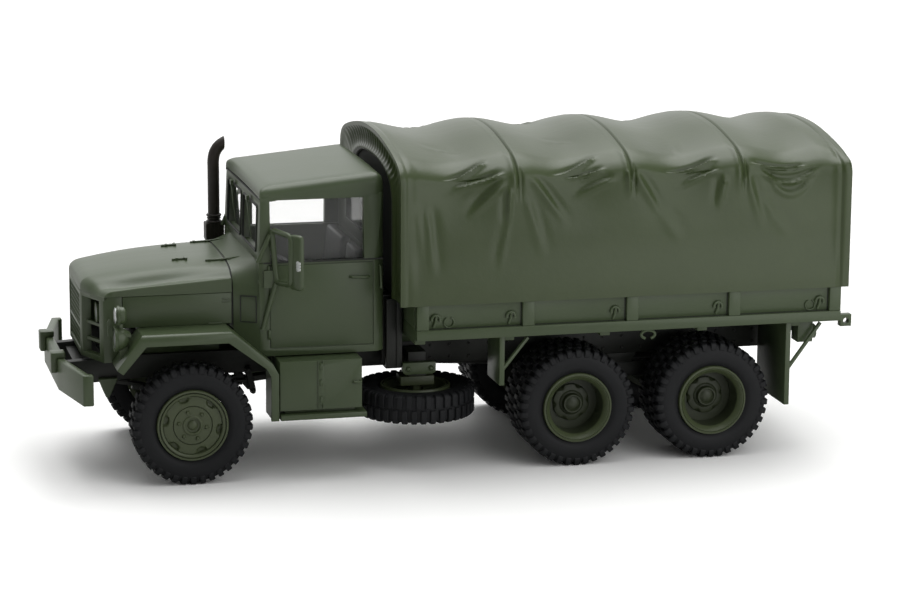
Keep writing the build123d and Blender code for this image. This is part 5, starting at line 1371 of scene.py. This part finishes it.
latch_y, strip_y, panel_y, latch_foot = 3.5, 4.7, 8.6, hood_height(-0.3, 3.5) - 0.2
latch_bar = ((0.6, 0.08), (-0.9, 0.1))  # station, height over the skin
strip_bar = ((-2.5, 0.05), (-4.3, 0.09))
latch_lugs = ((0.1, 0.22), (-0.75, 0.42))  # station, half length across
strip_end, strip_foot, strip_lugs, skin_end = (-5.9, 20.74), 20.2, (-2.9, -4.1, -4.9), -4.35
latch_half, latch_rise, strip_half, strip_reach, strip_rise = 0.13, 0.24, 0.14, 0.2, 0.2
louvre_heights, louvre_half, panel_depth = (17.5, 17.2), 0.05, 0.2
bm = bmesh.new()
for side, _ in SIDES:
    rod(bm, side, [(s, latch_y, hood_height(s, latch_y) + over) for s, over in latch_bar], 0.11)
    for s, reach in latch_lugs:
        block(bm, side, (s - latch_half, s + latch_half), (latch_y - reach, latch_y + reach),
              (latch_foot, hood_height(s, latch_y) + latch_rise))
    strip = [(s, strip_y, hood_height(s, strip_y) + over) for s, over in strip_bar]
    rod(bm, side, strip + [(strip_end[0], strip_y, strip_end[1])], 0.13)
    for s in strip_lugs:
        block(bm, side, (s - strip_half, s + strip_half), (strip_y - strip_reach, strip_y + strip_reach),
              (strip_foot, hood_height(max(s, skin_end), strip_y) + strip_rise))
    for z in louvre_heights:
        block(bm, side, (-3.5, -4.3), (panel_y - panel_depth, panel_y + 0.03),
              (z - louvre_half, z + louvre_half))
    block(bm, side, (-2.1, -3.45), (panel_y - panel_depth, panel_y + 0.04), (15.06, 15.2))
piece("bonnet_fittings", bm, "body_olive", edge=0.03, segments=1)
print("bonnet latch stands at", round(latch_foot, 2), "mm")

# %% [markdown]
# On the cab are door handles, grab rails, hinge barrels and wipers. Bent bars make the handles, as bent
# wire would. The rear window is a pane set in its opening, coloured with the painted shade of the gap behind
# it.

# %% Door, windscreen and cab fittings
door_y = 9.85
handle = ((-15.8, 0.0, 19.42), (-15.95, 0.34, 19.42), (-17.5, 0.34, 19.36), (-17.65, 0.0, 19.36))
grab_rail = ((-18.75, -0.3, 20.4), (-18.75, 0.2, 20.4), (-18.85, 0.25, 18.2), (-18.85, -0.3, 18.2))
hinge_station, hinge_heights, hinge_length, hinge_out = -7.82, (13.6, 19.9), 0.9, 0.04
wiper_y = 4.4
wiper_arm = (((-6.72, 0.0, 26.4), (-6.68, 1.5, 24.2)), 0.07)
wiper_blade = (((-6.72, 0.4, 25.6), (-6.7, 2.5, 22.9)), 0.06)
bm = bmesh.new()
for side, _ in SIDES:
    for points, radius in ((handle, 0.15), (grab_rail, 0.12)):
        rod(bm, side, [(s, door_y + out, z) for s, out, z in points], radius)
    for z in hinge_heights:
        rod(bm, side, [(hinge_station, door_y + hinge_out, h) for h in (z, z + hinge_length)], 0.16)
    block(bm, side, (-6.9, -6.6), (wiper_y - 0.3, wiper_y + 0.3), (26.35, 26.8))
    for points, radius in (wiper_arm, wiper_blade):
        rod(bm, 1, [(s, side * wiper_y + out, z) for s, out, z in points], radius, 6)
piece("cab_fittings", bm, "body_olive", edge=0.02, segments=1)
pane_half, pane_low, pane_high, pane_corner = 5.15, 22.45, 26.15, 0.35
half_pane = [(pane_half - pane_corner, pane_low), (pane_half, pane_low + pane_corner),
             (pane_half, pane_high - pane_corner), (pane_half - pane_corner, pane_high)]
bm = bmesh.new()
prism(bm, half_pane + [(-y, z) for y, z in half_pane[::-1]], at(-18.75), at(-18.62), "x")
piece("rear_window_pane", bm, "clear_glazing", edge=0.03, segments=1, finish=rear_pane_painted_shade)
print("rear pane", 2 * pane_half, "mm wide")

# %% [markdown]
# Where two mouldings meet, the eye sees a thin line of shade: under the windows, round the cowl's hatch,
# beside the bed's posts, under the roof and round the windscreen's panes. Real gaps this narrow would
# render noisy, so each line is a strip of painted shade that stands a little proud of the face it lies on.

# %% Seams of painted shade
sill_line = ((-7.3, -19.1), (door_y - 0.39, door_y + 0.01), (21.0, 21.16))
hatch_stations, hatch_low, hatch_high, line_width = (-5.2, -6.6), 15.25, 17.85, 0.07
cowl_flare = (cab_half - panel_half) / (cowl_front - cowl_rear)
post_front, post_pitch, post_count, post_half = -22.1, 10.55, 5, 0.6
board_out, board_low, board_high = (13.4, 13.52), 14.6, 17.1
gasket_corners = ((0.5, 21.95), (8.05, 21.95), (8.05, 26.35), (0.5, 26.35))  # distance out, height
screen_front, screen_foot, screen_rake, gasket_radius = -6.9, 21.1, 0.034, 0.13
bm = bmesh.new()
for side, _ in SIDES:
    block(bm, side, *sill_line)
    corners = [(at(s), side * (panel_half + 0.12 + cowl_flare * (cowl_front - s))) for s in hatch_stations]
    plan = corners + [(x, y - side * 0.2) for x, y in corners[::-1]]
    for low in (hatch_high - line_width, hatch_low):
        prism(bm, plan, low, low + line_width, "z")
    for x, y in corners:
        box(bm, (x - line_width / 2, x + line_width / 2), (y - side * 0.2, y), (hatch_low, hatch_high))
    for k in range(post_count):
        post = post_front - post_pitch * k
        if k:
            block(bm, side, (post + post_half, post + post_half + 0.12), board_out, (board_low, board_high))
        if k < post_count - 1:
            block(bm, side, (post - post_half, post - post_pitch + post_half), board_out,
                  (board_low, board_low + 0.08))
    pane = []
    for y, z in gasket_corners:
        pane.append(Vector((at(screen_front - screen_rake * (z - screen_foot)), side * y, z)))
    tube(bm, rounded_loop(pane, 0.3), gasket_radius, 8)
block(bm, 1, (-7.2, -7.02), (-9.1, 9.1), (27.18, 27.31))
piece("dark_seams", bm, "body_olive", finish=shadow_line)
print("seam lines along", post_count, "posts a side")

# %% [markdown]
# Ropes would tie the canvas down to hooks and rings on the bed's side, and a shackle hangs under it. All
# are bent round bars, so each is an arc of points with a bar along it.

# %% Rope hooks, rings and shackles on the bed
def arc(station, z, radius, first, last, steps=10, flat=1.0):
    """Points of an arc along the truck's side, as station and height; flat squeezes its height."""
    angles = [math.radians(first + (last - first) * k / steps) for k in range(steps + 1)]
    return [(station + radius * math.cos(a), z + flat * radius * math.sin(a)) for a in angles]


hook_y, hook_z, hook_stations = 13.64, 15.6, (-23.44, -30.93, -41.5, -52.1, -62.75)
hook_stem = ((-0.05, 15.95), (0.02, 15.4), (0.22, 14.85))  # station from the hook's middle, height
bm = bmesh.new()
for side, _ in SIDES:
    bars = []
    for station in hook_stations:
        bars.append((arc(station, hook_z, 0.42, -20, 205), hook_y, 0.14))
        bars.append(([(station + shift, z) for shift, z in hook_stem], hook_y, 0.13))
    bars += [(arc(station, 15.25, 0.5, -245, 65, 12), hook_y - 0.03, 0.07) for station in (-24.75, -61.75)]
    bars.append((arc(-44.9, 13.1, 0.7, 245, -65, 16, flat=0.6), 13.7, 0.15))
    for points, y, radius in bars:
        rod(bm, side, [(s, y, z) for s, z in points], radius)
piece("rope_hooks", bm, "body_olive", crease=40)
print("rope hooks", len(hook_stations), "a side")

# %% [markdown]
# The boxes under the doors have a handle, two raised strips and a hinge, and the frame's rails are
# riveted. The rivets come from the row tree, two rows on each rail.

# %% Box fittings and frame rivets
box_y, lid_heights, strip_stations = 12.0, (7.9, 9.6, 11.2), (-12.22, -12.68)
box_handle = ((-15.65, 0.0), (-15.7, 0.2), (-16.4, 0.2), (-16.42, 0.0))  # station, distance from the face
bm = bmesh.new()
for side, _ in SIDES:
    rod(bm, side, [(s, box_y + out, 9.47) for s, out in box_handle], 0.13)
    for s in strip_stations:
        block(bm, side, (s - 0.06, s + 0.06), (box_y - 0.1, box_y + 0.14), (7.0, 11.7))
    for z in lid_heights:
        rod(bm, side, [(-12.45, box_y + 0.1, h) for h in (z - 0.3, z + 0.3)], 0.18)
piece("box_fittings", bm, "body_olive", edge=0.02, segments=1)
rivet = [(0.0, 0.12), (0.1, 0.1), (0.15, 0.03), (0.15, -0.1), (0.0, -0.1)]
rivet_count, rivet_pitch, rail_y, rivet_low, rivet_rise = 20, 2.0, 4.8, 9.75, 1.25
bm = bmesh.new()
for side, _ in SIDES:
    one = bmesh.new()
    turned(one, rivet, (0, 0, 0), (0, side, 0), 8)
    first_rivet = (at(-21.0), side * rail_y, rivet_low)
    bm.from_mesh(row_of(one, rivet_count, (-rivet_pitch, 0, 0), first_rivet, chassis_olive_and_painted_shade, 2,
                        (0, 0, rivet_rise)))
piece("frame_rivets", bm, "chassis_dark_olive", crease=40)
print("rivets", 2 * 2 * rivet_count)

# %% [markdown]
# The spare wheel lies flat under the bed's nose. Its nuts come from the ring tree, stand up with the hub
# ring about an axle along Y, as on the other wheels, and are then laid flat together.

# %% Spare wheel's nuts
one = bmesh.new()
turned(one, [(0.17, -0.2), (0.17, 0.1), (0.1, 0.2), (0.0, 0.22)], (0, 0.2, 1.5), (0, 1, 0), 8, closed=False)
bm = bmesh.new()
bm.from_mesh(repeat(RING, one, Count=6, Phase=0.2, Centre=(0, 0, 0), Finish=rim_olive))
hub_ring = [(1.15, -0.1), (1.15, 0.25), (1.0, 0.32), (0.85, 0.32), (0.8, 0.1), (0.8, -0.1)]
turned(bm, hub_ring, (0, 0.2, 0), (0, 1, 0), 32)
lay_flat(bm)
move(bm, middle_of("spare_rim") + Vector((0, 0, 0.3)))
piece("spare_hub_nuts", bm, "rim_olive", crease=40)
print("spare wheel's nuts", 6)

# %% [markdown]
# The front springs hang from a bracket at the nose and swing on a shackle behind. Both are flat plates on
# the model, drawn as outlines and given a thickness, with a few short leaves between.

# %% Spring hangers and shackles
hanger = ((8.2, 9.4), (6.3, 9.4), (6.9, 8.0), (7.15, 7.5), (7.45, 7.5), (7.75, 8.2))
link = ((-6.25, 9.6), (-6.4, 9.85), (-6.65, 9.85), (-6.85, 9.6), (-7.3, 7.5), (-7.25, 7.2), (-7.0, 7.1),
        (-6.75, 7.25))
pin_table = ((-6.55, 9.55), (-7.02, 7.4))
leaf_count, leaf_top, leaf_pitch, leaf_thickness = 3, 8.55, 0.28, 0.24
hangers, shackles = bmesh.new(), bmesh.new()
for side, _ in SIDES:
    plate(hangers, side, hanger, (4.75, 5.35))
    plate(shackles, side, link, (4.9, 5.4))
    for s, z in pin_table:
        rod(shackles, side, ((s, 4.6, z), (s, 5.6, z)), 0.2, 10)
    for k in range(leaf_count):
        leaf_z = leaf_top - leaf_pitch * k
        block(shackles, side, (-3.0 + 0.5 * k, -6.9 + 0.9 * k), (4.3, 5.1), (leaf_z - leaf_thickness, leaf_z))
piece("spring_hangers", hangers, "body_olive", edge=0.06, segments=1)
piece("spring_shackles", shackles, "chassis_dark_olive", edge=0.04, segments=1)
print("spring leaves", leaf_count, "a side")

# %% [markdown]
# Between the cab and the bed stands a ribbed frame, and a clamp with two bolts holds the spare wheel. The
# ribs come from the row tree; the clamp is an outline with a thickness, as it would be cut from plate.

# %% Ribbed frame and spare wheel's clamp
frame_station, frame_half, frame_heights, rib_count, rib_half = -20.7, 8.6, (9.8, 16.6), 9, 0.25
rib_y = frame_half - rib_half
bm = bmesh.new()
block(bm, 1, (frame_station, frame_station - 0.6), (-frame_half, frame_half), frame_heights)
one = bmesh.new()
box(one, (0, 1.0), (-rib_half, rib_half), frame_heights)
bm.from_mesh(row_of(one, rib_count, (0, 2.08, 0), (at(frame_station), -rib_y, 0), chassis_olive_and_painted_shade))
piece("carrier_frame", bm, "chassis_dark_olive", edge=0.1)
clamp = ((-21.27, 10.3), (-24.61, 10.3), (-24.61, 9.3), (-24.3, 9.1), (-21.6, 9.1), (-21.27, 9.3))
clamp_out, bolt_stations, bolt_z = (8.2, 9.0), (-21.8, -24.1), 9.7
bolt = [(0.0, 0.3), (0.2, 0.24), (0.26, 0.1), (0.26, -0.1), (0.0, -0.1)]
bm = bmesh.new()
plate(bm, 1, clamp, clamp_out)
for s in bolt_stations:
    turned(bm, bolt, (at(s), clamp_out[1], bolt_z), (0, 1, 0), 12)
piece("spare_clamp", bm, "body_olive", edge=0.08)
print("spare wheel's frame has", rib_count, "ribs")

# %% [markdown]
# The solids that need no finer form keep their own mesh and get the finish of their kind of plastic.

# %% Finishes for the solids that stay as they are
slot_rules = (  # ending or whole name of the node, finish
    ("tyre", "tyre_black"), ("rim", "rim_olive"), ("axle", "chassis_dark_olive"),
    ("shafts", "chassis_dark_olive"), ("pintle_hook", "chassis_dark_olive"),
    ("exhaust_stack", "exhaust_brown_black"),
    ("steering_wheel", "interior_grey"), ("glazing", "clear_glazing"), ("headlamps", "lamp_silver"),
)
for name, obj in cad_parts.items():
    slot = next((slot for ending, slot in slot_rules if name.endswith(ending)), "body_olive")
    obj.data.materials.clear()
    obj.data.materials.append(FINISH[slot])
print("solids with a finish", len(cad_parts))
